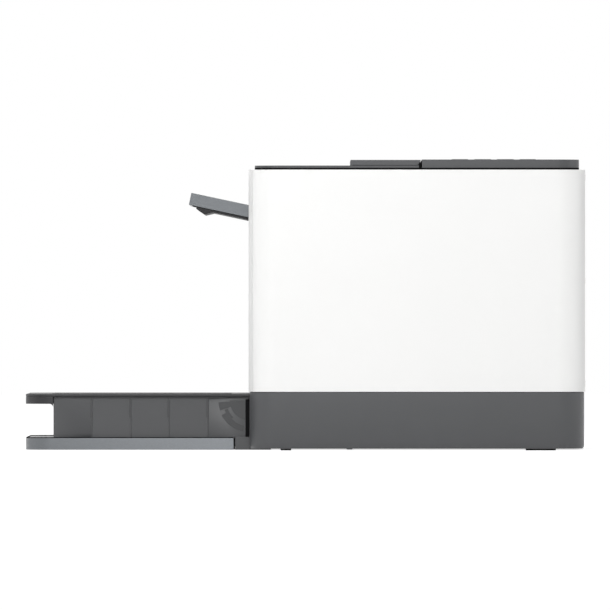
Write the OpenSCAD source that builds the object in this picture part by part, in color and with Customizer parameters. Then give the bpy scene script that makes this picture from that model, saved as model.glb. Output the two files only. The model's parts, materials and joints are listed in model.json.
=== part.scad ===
// Desktop multifunction laser printer with its cassette drawn out and its control panel tilted up.
// Millimetres. The front faces -Y, the right side +X, and Z = 0 is the desk.

/* [Body] */
// Width of the body
body_w = 439; // [425:1:460]
// Depth of the body
body_d = 342; // [340:1:360]
// Plan radius of the body's corners
corner_r = 28; // [24:1:30]
// Wall of the white covers
shell_wall = 2.5; // [2:0.1:3]
// Height of the white covers
shell_h = 225.6; // [223:0.1:240]
// Thickness of the front bezel
bezel_t = 3.5; // [3.2:0.1:5]
// Gap at the seams between covers
seam = 0.3; // [0.2:0.05:0.5]

/* [Base] */
// Height of the grey base
base_h = 57.4; // [57:0.1:59]
// Wall of the grey base
base_wall = 3; // [2:0.1:4]
// How far the base stands in from the covers
base_inset = 1; // [0.5:0.1:2]
// Height of the rubber feet
foot_h = 1.8; // [1.5:0.1:4]

/* [Cassette] */
// How far the cassette is drawn out
cassette_pull = 226.8; // [0:0.1:230]
// Width of the base at each side of the cassette
side_w = 33.5; // [32.5:0.5:36]
// Gap between the shut cassette and the body's rear face
cassette_gap = 10; // [8:1:14]
// Depth of the finger recess under the deck's lip
grip_d = 28.4; // [24:0.1:32]
// Height of the light front
strip_h = 11.7; // [8:0.1:12]
// Length of the light front
strip_l = 211.5; // [180:0.5:212]
// Plan radius of the cassette's front corners
cassette_r = 27; // [15:1:28]
// Wall of the cassette
tray_wall = 2.5; // [2:0.1:3]
// Thickness of the output deck
deck_t = 2.5; // [2:0.1:2.6]
// Length of the output deck
deck_l = 233; // [228:1:236]
// Height of the deck's front lip
lip_h = 9.9; // [8:0.1:12]
// Width of a sheet
sheet_w = 216; // [210:1:218]

/* [Control panel] */
// Distance of the panel from each side of the body
panel_side = 51.5; // [49.5:0.5:60]
// Length of the panel from its pivot
panel_l = 69.5; // [62:0.5:70]
// Thickness of the panel's light housing
panel_t = 12.45; // [11:0.05:13]
// Tilt of the panel above level
panel_tilt = 12; // [0:1:20]
// Depth of the panel's pivot below the top of the covers
pivot_drop = 45.5; // [44:0.1:46.5]

/* [Lid and feeder] */
// Gap between the lid and the rim round it
lid_gap = 1.3; // [1:0.1:2]
// Height of the lid's front plate above the covers
lid_front_h = 4.1; // [3:0.1:5]
// Height of the lid's rear cover above the covers
lid_rear_h = 10; // [9:0.1:13]
// Length of the raised document tray
tray_len = 71.5; // [50:0.5:80]
// Height of the feeder's cover above the covers
hump_h = 10; // [10:0.1:14]
// Width of the feeder's cover
hump_w = 116; // [105:1:118]

/* [Scanner] */
// Thickness of the scanner glass
glass_t = 3; // [2:0.1:3.5]
// Length of the platen glass
platen_l = 300; // [297:1:304]
// Width of the platen glass
platen_w = 222; // [216:1:230]
// Radius of the carriage's guide rod
rod_r = 3; // [2:0.5:4]

/* [Print engine] */
// Distance between the steel side frames
frame_span = 300; // [296:1:302]
// Thickness of the side frames
frame_t = 1.5; // [1:0.1:2]
// Radius of the photosensitive drum
drum_r = 12; // [11:0.5:12]
// Radius of the fuser rollers
fuser_r = 13; // [11:0.5:13]
// Radius of the pick roller
pick_r = 20; // [18:0.5:20]
// Radius of the registration and exit rollers
feed_r = 8; // [6:0.5:8]
// Radius of the transfer roller
transfer_r = 7.5; // [6:0.5:8]
// Tooth size of the drive gears
gear_module = 1.5; // [1.3:0.1:1.6]

/* [Hidden] */
$fn = 64;

// Overrun of every cut
cut = 1;
// Running clearance of a shaft in its bore
run = 0.06;
// Gap between pieces that pass each other
slip = 0.3;
// Gap round pieces that are fixed in place
close = 0.1;
// Wall of small moulded pieces
skin = 2;
// Radius of the shafts
shaft_r = 4;

// Seams and faces that several pieces share
half_w = body_w / 2;
half_d = body_d / 2;
front_y = -half_d;
bezel_y = front_y + bezel_t;
base_top = foot_h + base_h;
shell_z = base_top + slip;
shell_top = shell_z + shell_h;
rear_in = half_d - shell_wall;
frame_x = frame_span / 2;
cassette_w = body_w - 2 * side_w;
cassette_l = body_d - cassette_gap;
// Length beyond every piece, for boxes that only cut
far = 2 * (body_w + shell_top);

white = "#f4f4f3";
grey = "#626264";
dark_grey = "#4a4a4c";
black = "#222224";
light_grey = "#9a9a9a";
steel = "#b9bcc0";
green = "#2f6b45";
clear = "#cfe3ea";

// A flat outline with round corners, centred
module round_rect(w, d, r) {
    square([w - 2 * r, d], center = true);
    square([w, d - 2 * r], center = true);
    for (x = [-1, 1], y = [-1, 1]) translate([x * (w / 2 - r), y * (d / 2 - r)]) circle(r = r);
}

// A slab with round corners in plan, from z up
module slab(w, d, h, r, z) {
    translate([0, 0, z]) linear_extrude(h) round_rect(w, d, r);
}

// A box between its low and high corners
module box(low, high) {
    translate(low) cube(high - low);
}

// A box on each side of the middle, given by its inner and outer distance from it
module side_boxes(x0, x1, y0, y1, z0, z1) {
    box([x0, y0, z0], [x1, y1, z1]);
    box([-x1, y0, z0], [-x0, y1, z1]);
}

// A bar of radius r along X
module rod(x0, x1, r, y, z) {
    translate([x0, y, z]) rotate([0, 90, 0]) cylinder(h = x1 - x0, r = r);
}

// A bar of radius r along Y
module rod_y(y0, y1, r, x, z) {
    translate([x, y1, z]) rotate([90, 0, 0]) cylinder(h = y1 - y0, r = r);
}

// A profile in Y and Z run along X
module along_x(x0, x1, points) {
    translate([x0, 0, 0]) rotate([90, 0, 90]) linear_extrude(x1 - x0) polygon(points);
}

// The two ends of a stretch that is given by its distances from a
function shifted(a, reach) = [a + reach[0], a + reach[1]];

// Places of the rollers in Y and Z, given from the rear face and the top of the base
function placed(set) = [half_d - set[0], base_top + set[1]];
pick_set = [59, 6.8];
guide_set = [34, 14.8];
register_set = [79, 32.3];
drum_set = [113, 52.8];
fuser_set = [219, 27.6];
exit_set = [266, 24.8];
pick_at = placed(pick_set);
guide_at = placed(guide_set);
register_at = placed(register_set);
drum_at = placed(drum_set);
pressure_at = placed(fuser_set);
exit_at = placed(exit_set);

// The origin lies under the middle of the whole object, so the body stands back by half the pull
module settled() {
    translate([0, cassette_pull / 2, 0]) children();
}

// Pieces of the cassette are drawn as they lie when it is shut, and stand forward by half the pull
module pulled() {
    translate([0, -cassette_pull / 2, 0]) children();
}

// Output deck and cassette heights; the deck slides just under the plate of the base
deck_plate_t = 1.8;
deck_plate_z = base_top - deck_plate_t;
deck_z = deck_plate_z - slip - deck_t;

// Base: a tray with a bay through its middle, a pocket at each side and a plate over the bay
base_w = body_w - 2 * base_inset;
base_d = body_d - 2 * base_inset;
base_r = corner_r - base_inset;
base_floor = 2.5;
base_chamfer = 2.8;
chamfer_steps = 4;
bay_gap = 1.3;
bay_half = cassette_w / 2 + bay_gap;
bay_wall = 2.7;
bay_back = base_d / 2 - base_wall;
pocket_end = base_w / 2 - base_wall;
rail_w = 4.8;
rail_t = 5.3;
rail_z = deck_z - slip - rail_t;
rail_gap = 1.6;
rail_start = front_y + grip_d + rail_gap;
rib_t = 2;
rib_count = 3;
// Opening in the plate for the pick roller and the turn of the paper
path_in = 25;
path_lead = 4;
path_half = frame_x - path_in;
path_start = pick_at[0] - pick_r - path_lead;
path_end = bay_back - base_wall;

module base_outer() {
    slab(base_w, base_d, base_h - base_chamfer, base_r, foot_h + base_chamfer);
    for (i = [0:chamfer_steps - 1]) {
        left = base_chamfer * (1 - i / chamfer_steps);
        inset = left / 2;
        slab(base_w - 2 * inset, base_d - 2 * inset, left, base_r - inset,
            foot_h + base_chamfer - left);
    }
}

module base_housing() color(grey) settled() {
    difference() {
        base_outer();
        slab(base_w - 2 * base_wall, base_d - 2 * base_wall, base_h, base_r - base_wall,
            foot_h + base_floor);
        box([-bay_half, -far, foot_h - cut], [bay_half, bay_back, base_top + cut]);
    }
    side_boxes(bay_half, bay_half + bay_wall, -base_d / 2 + base_wall, bay_back, foot_h, base_top);
    for (i = [1:rib_count]) {
        y = -base_d / 2 + i * base_d / (rib_count + 1);
        side_boxes(bay_half, pocket_end + skin, y, y + rib_t, foot_h + base_floor / 2,
            base_top - 2 * rib_t);
    }
}

// Plate over the bay, which the print engine stands on
module bay_plate() color(dark_grey) settled() {
    difference() {
        box([-bay_half + close, bezel_y + seam, deck_plate_z],
            [bay_half - close, bay_back - close, base_top]);
        box([-path_half, path_start, deck_plate_z - cut], [path_half, path_end, base_top + cut]);
    }
}

// Rails that the cassette's flanges slide on
module slide_rails() color(dark_grey) settled()
    side_boxes(bay_half - rail_w, bay_half - close, rail_start, bay_back - close, rail_z,
        rail_z + rail_t);

// Feet: at each side a short pad at the front, a long one at the rear and a stub between
foot_w = 20;
foot_x = bay_half + bay_wall + foot_w / 2 + skin;
front_pad = [32.4, 43.3];
middle_pad = [99.6, 105.4];
rear_pad = [-60.5, -30];
middle_foot = shifted(front_y, middle_pad);
middle_foot_h = 0.8;

module feet() color(black) settled() {
    for (pad = [shifted(front_y, front_pad), shifted(half_d, rear_pad)])
        side_boxes(foot_x - foot_w / 2, foot_x + foot_w / 2, pad[0], pad[1], 0, foot_h);
    side_boxes(foot_x - foot_w / 4, foot_x + foot_w / 4, middle_foot[0], middle_foot[1],
        foot_h - middle_foot_h, foot_h);
}

// White covers, cut from one wall with round corners
cover_lap = 5.5;
rear_half = half_w - corner_r - cover_lap;

module shell_ring() {
    difference() {
        slab(body_w, body_d, shell_h, corner_r, shell_z);
        slab(body_w - 2 * shell_wall, body_d - 2 * shell_wall, far, corner_r - shell_wall,
            shell_z - cut);
    }
}

module side_covers() color(white) settled() {
    intersection() {
        shell_ring();
        side_boxes(rear_half, far, bezel_y + seam / 2, far, 0, far);
    }
}

// Mains inlet, sockets, fan and rear door, whose holes the rear cover has
inlet_in = 17;
inlet_up = 29.8;
inlet_w = 20;
inlet_h = 28;
inlet_d = 25;
pin_recess = 6.5;
inlet_x = inlet_in - rear_half;
inlet_z = base_top + inlet_up;
pin_blade = [1.6, 4];
socket_in = 20.6;
socket_w = 16;
socket_d = 20;
socket_x = rear_half - socket_in;
usb_up = 24.8;
usb_h = 11;
usb_z = base_top + usb_up;
net_up = 52.8;
net_h = 13.5;
net_z = base_top + net_up;
rear_door_in = 58;
rear_door_up = 4.8;
rear_door_h = 66;
rear_door_half = rear_half - rear_door_in;
rear_door_z = base_top + rear_door_up;
// Small pins of the doors, and the room that their lower edges swing in
door_pin_r = 0.9;
door_pin_len = 3;
swing = 0.9;
pin_up = 2;
rear_pin_y = half_d - shell_wall / 2;
rear_pin_z = rear_door_z + pin_up;
fan_size = 60;
fan_t = 15;
fan_in = 81;
fan_up = 118.8;
fan_x = fan_in - rear_half;
fan_y = rear_in - slip - fan_t;
fan_z = base_top + fan_up;
slot_w = 3;
slot_pitch = 7;
slot_count = 8;
vent_in = 91;
vent_x = rear_half - vent_in;
vent_count = 12;
vent_h = 52;

module slots(x, z, count, h) {
    for (i = [0:count - 1]) {
        left = x + (i - (count - 1) / 2) * slot_pitch - slot_w / 2;
        box([left, rear_in - cut, z - h / 2], [left + slot_w, half_d + cut, z + h / 2]);
    }
}

// A hole through the rear cover round a piece of width w and height h
module rear_hole(x, z, w, h) {
    box([x - w / 2 - seam, rear_in - cut, z - h / 2 - seam],
        [x + w / 2 + seam, half_d + cut, z + h / 2 + seam]);
}

module rear_cover() color(white) settled() {
    difference() {
        intersection() {
            shell_ring();
            box([-rear_half + seam, 0, 0], [rear_half - seam, far, far]);
        }
        rear_hole(0, rear_door_z + (rear_door_h - swing) / 2, 2 * rear_door_half,
            rear_door_h + swing);
        rear_hole(inlet_x, inlet_z, inlet_w, inlet_h);
        rear_hole(socket_x, usb_z, socket_w, usb_h);
        rear_hole(socket_x, net_z, socket_w, net_h);
        rod(-rear_door_half - door_pin_len - cut, rear_door_half + door_pin_len + cut,
            door_pin_r + run, rear_pin_y, rear_pin_z);
        slots(fan_x, fan_z, slot_count, vent_h);
        slots(vent_x, fan_z, vent_count, fan_size / 2);
    }
}

module rear_door() color(white) settled() {
    box([-rear_door_half, rear_in, rear_door_z], [rear_door_half, half_d, rear_door_z + rear_door_h]);
    rod(-rear_door_half - door_pin_len, rear_door_half + door_pin_len, door_pin_r, rear_pin_y,
        rear_pin_z);
}

module mains_inlet() color(black) settled() {
    difference() {
        box([inlet_x - inlet_w / 2, half_d - inlet_d, inlet_z - inlet_h / 2],
            [inlet_x + inlet_w / 2, half_d, inlet_z + inlet_h / 2]);
        box([inlet_x - inlet_w / 2 + skin, half_d - inlet_d + 2 * skin, inlet_z - inlet_h / 2 + skin],
            [inlet_x + inlet_w / 2 - skin, half_d + cut, inlet_z + inlet_h / 2 - skin]);
    }
    for (i = [-1:1]) {
        x = inlet_x + (i == 0 ? skin : -skin);
        z = inlet_z + i * inlet_h / 4;
        box([x - pin_blade[1] / 2, half_d - inlet_d, z - pin_blade[0] / 2],
            [x + pin_blade[1] / 2, half_d - pin_recess, z + pin_blade[0] / 2]);
    }
}

module socket(z, h) {
    difference() {
        box([socket_x - socket_w / 2, half_d - socket_d, z - h / 2],
            [socket_x + socket_w / 2, half_d, z + h / 2]);
        box([socket_x - socket_w / 2 + skin, half_d - socket_d + skin, z - h / 2 + skin],
            [socket_x + socket_w / 2 - skin, half_d + cut, z + h / 2 - skin]);
    }
}

module port_sockets() color(steel) settled() {
    socket(usb_z, usb_h);
    socket(net_z, net_h);
}

module fan_frame() color(black) settled() {
    difference() {
        box([fan_x - fan_size / 2, fan_y, fan_z - fan_size / 2],
            [fan_x + fan_size / 2, fan_y + fan_t, fan_z + fan_size / 2]);
        rod_y(fan_y + skin, fan_y + fan_t + cut, fan_size / 2 - skin, fan_x, fan_z);
        difference() {
            rod_y(fan_y - cut, fan_y + fan_t, fan_size / 2 - skin, fan_x, fan_z);
            rod_y(fan_y - cut, fan_y + skin, fan_size / 6, fan_x, fan_z);
            box([fan_x - fan_size / 2, fan_y - cut, fan_z - skin / 2],
                [fan_x + fan_size / 2, fan_y + skin, fan_z + skin / 2]);
            box([fan_x - skin / 2, fan_y - cut, fan_z - fan_size / 2],
                [fan_x + skin / 2, fan_y + skin, fan_z + fan_size / 2]);
        }
        rod_y(fan_y - 2 * cut, fan_y + fan_t, door_pin_r + run, fan_x, fan_z);
    }
}

blade_count = 7;

module fan_rotor() color(dark_grey) settled() {
    rod_y(fan_y + skin + slip, fan_y + fan_t - skin, fan_size / 6, fan_x, fan_z);
    rod_y(fan_y + slip, fan_y + skin + cut, door_pin_r, fan_x, fan_z);
    for (i = [0:blade_count - 1])
        translate([fan_x, fan_y + fan_t / 2 + skin / 2, fan_z]) rotate([0, i * 360 / blade_count, 0])
            translate([fan_size / 6 - cut, 0, 0]) rotate([35, 0, 0])
                box([0, -skin / 2, -fan_t / 3],
                    [fan_size / 3 - skin - slip - cut, skin / 2, fan_t / 3]);
}

// Control panel: its pivot lies so that the panel hangs flush with the bezel when it is down
barrel_r = 8;
panel_w = body_w - 2 * panel_side;
pivot_y = front_y + barrel_r;
pivot_z = shell_top - pivot_drop;
panel_pin_r = 3;
panel_skin = 2.5;
panel_gap = 1.2;
recess_half = panel_w / 2 + panel_gap;
recess_z = pivot_z - panel_l - panel_gap;
recess_top = pivot_z + barrel_r + 2 * panel_gap;
recess_d = 20;
recess_back = front_y + recess_d;
ear_t = 3.5;

// Front bezel with the output mouth, the front door's opening and the panel's recess
mouth_half = path_half;
mouth_h = 42.8;
mouth_top = base_top + mouth_h;
door_gap = 4;
front_door_half = frame_x;
front_door_z = mouth_top + door_gap;
sill_h = 5.4;
front_door_h = recess_z - sill_h - front_door_z;
front_pin_r = 1.25;
front_pin_len = 3.5;
front_pin_y = front_y + bezel_t / 2;
front_pin_z = front_door_z + pin_up;

module front_bezel() color(white) settled() {
    difference() {
        intersection() {
            slab(body_w, body_d, shell_h, corner_r, shell_z);
            box([-far, -far, 0], [far, bezel_y, far]);
        }
        box([-mouth_half, -far, 0], [mouth_half, 0, mouth_top]);
        box([-front_door_half - seam, -far, front_door_z - swing],
            [front_door_half + seam, 0, front_door_z + front_door_h + seam]);
        box([-recess_half, -far, recess_z], [recess_half, 0, recess_top]);
        rod(-front_door_half - front_pin_len - slip, front_door_half + front_pin_len + slip,
            front_pin_r + run, front_pin_y, front_pin_z);
    }
}

// Front door: a flat cover on two pins at its foot, with a finger notch and ribs
module front_door() color(white) settled() {
    difference() {
        box([-front_door_half, front_y, front_door_z],
            [front_door_half, bezel_y, front_door_z + front_door_h]);
        translate([0, front_y - cut, front_door_z + front_door_h + skin]) rotate([-90, 0, 0])
            cylinder(h = skin + cut, r = 6 * skin);
    }
    for (share = [-0.8, -0.4, 0, 0.4, 0.8])
        box([share * front_door_half - skin / 2, bezel_y - cut, front_pin_z + 2 * skin],
            [share * front_door_half + skin / 2, bezel_y + 2 * skin,
                front_door_z + front_door_h - 4 * skin]);
    rod(-front_door_half - front_pin_len, front_door_half + front_pin_len, front_pin_r, front_pin_y,
        front_pin_z);
}

// Inner front frame: the mouth's walls and ceiling, and the panel's recess with its two ears
frame_y = bezel_y + slip;
mouth_d = 45;
mouth_back = frame_y + mouth_d;
frame_back = recess_back + skin;
shelf_z = recess_z - skin - slip;
post_x = front_door_half + 2 * skin;
shelf_half = max(recess_half + ear_t, post_x + skin);

module front_frame() color(dark_grey) settled() {
    box([-post_x - skin, frame_y, mouth_top], [post_x + skin, frame_back, mouth_top + skin]);
    box([-mouth_half - skin, frame_y, mouth_top], [mouth_half + skin, mouth_back, mouth_top + skin]);
    side_boxes(mouth_half, mouth_half + skin, frame_y, mouth_back, base_top + slip,
        mouth_top + skin);
    side_boxes(post_x, post_x + skin, frame_y, frame_back, base_top + slip, shelf_z + skin);
    box([-shelf_half, frame_y, shelf_z], [shelf_half, frame_back, shelf_z + skin]);
    box([-recess_half - ear_t, recess_back, shelf_z],
        [recess_half + ear_t, frame_back, recess_top + skin]);
    box([-recess_half - ear_t, frame_y, recess_top],
        [recess_half + ear_t, frame_back, recess_top + skin]);
    difference() {
        side_boxes(recess_half, recess_half + ear_t, frame_y, frame_back, shelf_z,
            recess_top + skin);
        rod(-half_w, half_w, panel_pin_r + run, pivot_y, pivot_z);
    }
}

// Panel pieces are drawn level, with the pivot at the middle, and then tilted
module panel_pose() {
    settled() translate([0, pivot_y, pivot_z]) rotate([-panel_tilt, 0, 0]) children();
}

panel_top = barrel_r;
panel_low = barrel_r - panel_t;
display_w = 102;
display_l = 54;
display_x = 38;
display_out = 1.5;
display_y = -panel_l / 2 - display_out;
button_r = 6;
button_h = 6;
button_in = 28;
button_x = button_in - panel_w / 2;
button_y = -panel_l / 2;
button_proud = 0.8;

module panel_housing() color(light_grey) panel_pose() {
    difference() {
        union() {
            box([-panel_w / 2, -panel_l, panel_low], [panel_w / 2, 0, panel_top]);
            rod(-panel_w / 2, panel_w / 2, barrel_r, 0, 0);
        }
        box([-panel_w / 2 + panel_skin, -panel_l + panel_skin, panel_low - cut],
            [panel_w / 2 - panel_skin, -barrel_r, panel_top - panel_skin]);
        box([-panel_w, -barrel_r, -2 * barrel_r], [panel_w, barrel_r, panel_low - barrel_r / 2]);
        box([display_x - display_w / 2, display_y - display_l / 2, 0],
            [display_x + display_w / 2, display_y + display_l / 2, panel_top + cut]);
        translate([button_x, button_y, 0]) cylinder(h = 2 * barrel_r, r = button_r + slip);
    }
    rod(-recess_half - ear_t + slip, recess_half + ear_t - slip, panel_pin_r, 0, 0);
}

// The black underside has a ridge across it to grip
under_t = 2.4;
under_inset = 2;
grip_ridge = [8.1, 17.5, 25.9];
grip_ridge_h = 3.9;

module panel_underside() color(black) panel_pose() {
    low = panel_low - under_t;
    along_x(-panel_w / 2 + under_inset, panel_w / 2 - under_inset, [
        [grip_ridge[0] - panel_l, panel_low], [grip_ridge[0] - panel_l, low],
        [grip_ridge[1] - panel_l, low - grip_ridge_h], [grip_ridge[2] - panel_l, low],
        [-barrel_r, low], [-barrel_r, panel_low]]);
}

module display_glass() color(black) panel_pose() {
    box([display_x - display_w / 2 + close, display_y - display_l / 2 + close,
        panel_top - panel_skin], [display_x + display_w / 2 - close,
        display_y + display_l / 2 - close, panel_top]);
}

module power_button() color(white) panel_pose() {
    translate([button_x, button_y, panel_top + button_proud - button_h])
        cylinder(h = button_h, r = button_r);
}

// Scanner bed: a shallow tray under the glass, with a rim round the lid
bed_h = 31;
rim_drop = 1;
glass_drop = 11.5;
bed_z = shell_top - bed_h;
bed_rim = shell_top - rim_drop;
bed_t = 1.9;
bed_w = body_w - 2 * shell_wall - 2 * slip;
bed_d = body_d - 2 * bezel_t - 2 * slip;
bed_r = corner_r - shell_wall - slip;
glass_z = shell_top - glass_drop;
platen_gap = 10.8;
platen_x = bed_w / 2 - bed_t - platen_gap - platen_l;
feeder_glass_w = 22;
feeder_glass_x = platen_x - feeder_glass_w;

module glass_panes(grow, low, high) {
    box([platen_x - grow, -platen_w / 2 - grow, low],
        [platen_x + platen_l + grow, platen_w / 2 + grow, high]);
    box([feeder_glass_x - feeder_glass_w / 2 - grow, -platen_w / 2 - grow, low],
        [feeder_glass_x + feeder_glass_w / 2 + grow, platen_w / 2 + grow, high]);
}

module scanner_bed() color(light_grey) settled() {
    difference() {
        slab(bed_w, bed_d, bed_rim - bed_z, bed_r, bed_z);
        slab(bed_w - 2 * bed_t, bed_d - 2 * bed_t, bed_rim, bed_r - bed_t, glass_z);
        slab(bed_w - 2 * bed_t, bed_d - 2 * bed_t, glass_z - glass_t - bed_z - skin, bed_r - bed_t,
            bed_z + skin);
        glass_panes(close, bed_z + skin, bed_rim);
    }
}

module scanner_glass() color(clear) settled() glass_panes(0, glass_z - glass_t, glass_z);

// Sensor carriage: a bar across the scanner that slides on the guide rod
carriage_w = 18;
carriage_gap = 1;
carriage_top = glass_z - glass_t - carriage_gap;
carriage_z = bed_z + 2 * skin;
rod_out = 9;
rod_y_at = -platen_w / 2 - rod_out;
rod_z_at = (carriage_top + carriage_z) / 2;

module scan_carriage() color(black) settled() {
    difference() {
        union() {
            box([feeder_glass_x - carriage_w / 2, -platen_w / 2 - skin, carriage_z],
                [feeder_glass_x + carriage_w / 2, platen_w / 2 + skin, carriage_top]);
            rod(feeder_glass_x - carriage_w / 2, feeder_glass_x + carriage_w / 2,
                (carriage_top - carriage_z) / 2, rod_y_at, rod_z_at);
            box([feeder_glass_x - carriage_w / 2, rod_y_at, carriage_z],
                [feeder_glass_x + carriage_w / 2, -platen_w / 2, carriage_top]);
        }
        rod(-half_w, half_w, rod_r + run, rod_y_at, rod_z_at);
    }
}

module guide_rod() color(steel) settled()
    rod(-bed_w / 2 + bed_t + close, bed_w / 2 - bed_t - close, rod_r, rod_y_at, rod_z_at);

// Lid: a pan inside the bed's rim with a front plate above it, hinged on two posts at the rear
lid_w = bed_w - 2 * bed_t - 2 * lid_gap;
lid_d = bed_d - 2 * bed_t - 2 * lid_gap;
lid_r = bed_r - bed_t - lid_gap;
lid_over = 0.7;
pan_gap = 3.8;
pan_z = glass_z + pan_gap;
lid_skin = 2;
top_w = lid_w + 2 * lid_over;
top_d = lid_d + 2 * lid_over;
top_r = lid_r + lid_over;
plate_z = shell_top + close;
plate_top = plate_z + lid_front_h;
cover_top = shell_top + lid_rear_h;
hump_x = -top_w / 2 + hump_w;
hinge_in = [62, 44.2];
hinge_places = [hump_x + hinge_in[0], top_w / 2 - hinge_in[1]];
post_r = 3.2;
hinge_pin_r = 1.6;
hinge_reach = 5.8;
hinge_y = top_d / 2 - lid_skin - post_r - slip;
hinge_z = cover_top - lid_skin - post_r - slip;
post_w = 4;
// Where the front plate, the document tray and the rear cover meet
seam_y = 4;
seam_lap = 1;
hump_step = 5;
hump_y = seam_y - tray_len + hump_step;
ledge_w = 52;
ledge_x = hump_x + ledge_w;
tray_z = plate_top + slip;
// Pivots of the document tray
tray_pin_r = 1;
tray_ear_r = 1.5;
tray_pin_in = 4;
tray_pin_drop = 2.6;
tray_pin_y = seam_y - tray_pin_in;
tray_pin_z = cover_top - tray_pin_drop;
tray_ear_shares = [0.08, 0.92];
tray_x0 = ledge_x + slip;
tray_x1 = top_w / 2;
// Pivots of the feeder's cover
hump_pin_in = 4.2;
hump_pin_up = 1.7;
hump_pin_x = -top_w / 2 + hump_pin_in;
hump_pin_z = plate_top + hump_pin_up;
hump_pin_r = 1;
hump_ear_r = 1.4;
hump_pin_len = 3;
hump_ear_w = 9;
hump_ear_in = [14, 28];
hump_ears = [hump_y + hump_ear_in[0], top_d / 2 - hump_ear_in[1]];
feed_bearings = [hump_y + lid_skin + slip, top_d / 2 - 2 * lid_skin - slip];
feed_in = 56;
feed_drop = 1.1;
feed_x = hump_pin_x + feed_in;
feed_z = plate_top - feed_drop;
feeder_r = 4.6;
feeder_shaft_r = 2;
// Well in the rear cover, beside the feeder's mouth, for the document guides
well_floor = 1.7;
well_ramp = 7;
well_z = plate_top + slip + well_floor;
well_front = hump_y + skin;
well_rear = top_d / 2 - skin;

module lid_hinges() color(steel) settled() {
    for (x = hinge_places) {
        rod(x - post_w / 2, x + post_w / 2, post_r, hinge_y, hinge_z);
        box([x - post_w / 2, hinge_y - post_r, glass_z + slip],
            [x + post_w / 2, hinge_y + post_r, hinge_z]);
        rod(x - hinge_reach, x + hinge_reach, hinge_pin_r, hinge_y, hinge_z);
    }
}

// Room in the lid's pieces for the two hinge posts
module post_room() {
    for (x = hinge_places)
        box([x - post_w / 2 - 2 * slip, hinge_y - 3 * post_r, glass_z],
            [x + post_w / 2 + 2 * slip, far, hinge_z + post_r + slip]);
}

module scanner_lid() color(grey) settled() {
    difference() {
        union() {
            difference() {
                slab(lid_w, lid_d, plate_z - pan_z, lid_r, pan_z);
                slab(lid_w - 2 * lid_skin, lid_d - 2 * lid_skin, far, lid_r - lid_skin,
                    pan_z + lid_skin);
            }
            intersection() {
                slab(top_w, top_d, lid_front_h, top_r, plate_z);
                union() {
                    box([-far, -far, 0], [far, seam_y - lid_skin, far]);
                    box([-far, -far, 0], [hump_x + cut, far, far]);
                }
            }
        }
        // Room for the feeder's cover to swing, and for its rollers
        box([-far, hump_y - slip, plate_z - slip],
            [hump_pin_x + 3 * post_r, far, plate_top + cut]);
        box([feed_x - 2 * feeder_r, hump_y - slip, plate_z - slip],
            [feed_x + 2 * feeder_r, far, plate_top + cut]);
        post_room();
    }
    // Ears and pins of the document tray
    for (share = tray_ear_shares) {
        x = tray_x0 + share * (tray_x1 - tray_x0);
        rod(x - skin / 2, x + skin / 2, tray_ear_r, tray_pin_y, tray_pin_z);
        box([x - skin / 2, tray_pin_y - tray_ear_r, plate_top - cut],
            [x + skin / 2, tray_pin_y + tray_ear_r, tray_pin_z]);
        rod(x - 2 * skin, x + 2 * skin, tray_pin_r, tray_pin_y, tray_pin_z);
    }
    // Ears and pins of the feeder's cover
    for (y = hump_ears) {
        rod_y(y, y + skin, hump_ear_r, hump_pin_x, hump_pin_z);
        box([hump_pin_x, y, hump_pin_z - hump_pin_r], [hump_pin_x + hump_ear_w, y + skin,
            hump_pin_z + hump_pin_r]);
        box([hump_pin_x + hump_ear_r + slip, y, pan_z + cut], [hump_pin_x + hump_ear_w, y + skin,
            hump_pin_z + hump_pin_r]);
        rod_y(y - hump_pin_len, y + skin + hump_pin_len, hump_pin_r, hump_pin_x, hump_pin_z);
    }
    // Bearings of the feeder's roller
    for (y = feed_bearings) difference() {
        box([feed_x - 2 * feeder_shaft_r, y, pan_z + cut],
            [feed_x + 2 * feeder_shaft_r, y + skin, feed_z + 2 * feeder_shaft_r]);
        rod_y(y - cut, y + skin + cut, feeder_shaft_r + run, feed_x, feed_z);
    }
}

module lid_pad() color(white) settled()
    slab(lid_w - 10 * lid_skin, lid_d - 10 * lid_skin, pan_z - glass_z - 2 * slip, lid_r - 5 * lid_skin,
        glass_z + 2 * slip);

module lid_rear_area(inset) {
    intersection() {
        slab(top_w - 2 * inset, top_d - 2 * inset, cover_top - plate_z - inset, top_r - inset,
            plate_z + (inset > 0 ? -cut : slip));
        union() {
            box([hump_x + slip + inset, seam_y + seam_lap + inset, 0], [far, far, far]);
            box([hump_x + slip + inset, hump_y + inset, 0], [ledge_x - inset, far, far]);
        }
    }
}

// Low ridges along the rear cover, given by their front edge and width
ridge_h = 0.8;
ridges = [[35.5, 16.4], [58.4, 16.7], [81.5, 16.7], [104.6, 16.1]];
ridge_end_share = 0.9;

module feed_well(grow) translate([0, well_rear + grow, 0]) rotate([90, 0, 0])
    linear_extrude(well_rear - well_front + 2 * grow)
        polygon([[-far, well_z - grow], [ledge_x - well_ramp + grow, well_z - grow],
            [ledge_x + grow, cover_top], [ledge_x + grow, far], [-far, far]]);

module lid_rear_cover() color(grey) settled() {
    difference() {
        lid_rear_area(0);
        feed_well(0);
        difference() {
            lid_rear_area(lid_skin);
            feed_well(lid_skin);
            for (x = hinge_places)
                box([x - hinge_reach - skin, hinge_y - post_r - slip, hinge_z - post_r - slip],
                    [x + hinge_reach + skin, far, far]);
        }
        // The lid's front plate passes under the step beside the feeder
        box([-far, -far, 0], [ledge_x + slip, seam_y - lid_skin + slip, plate_top + slip]);
        box([-far, -far, 0], [hump_x + cut + slip, far, plate_top + slip]);
        post_room();
        for (x = hinge_places)
            rod(x - hinge_reach - slip, x + hinge_reach + slip, hinge_pin_r + run, hinge_y, hinge_z);
    }
    for (r = ridges)
        box([ledge_x, r[0], cover_top - cut], [ridge_end_share * top_w / 2, r[0] + r[1],
            cover_top + ridge_h]);
}

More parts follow.
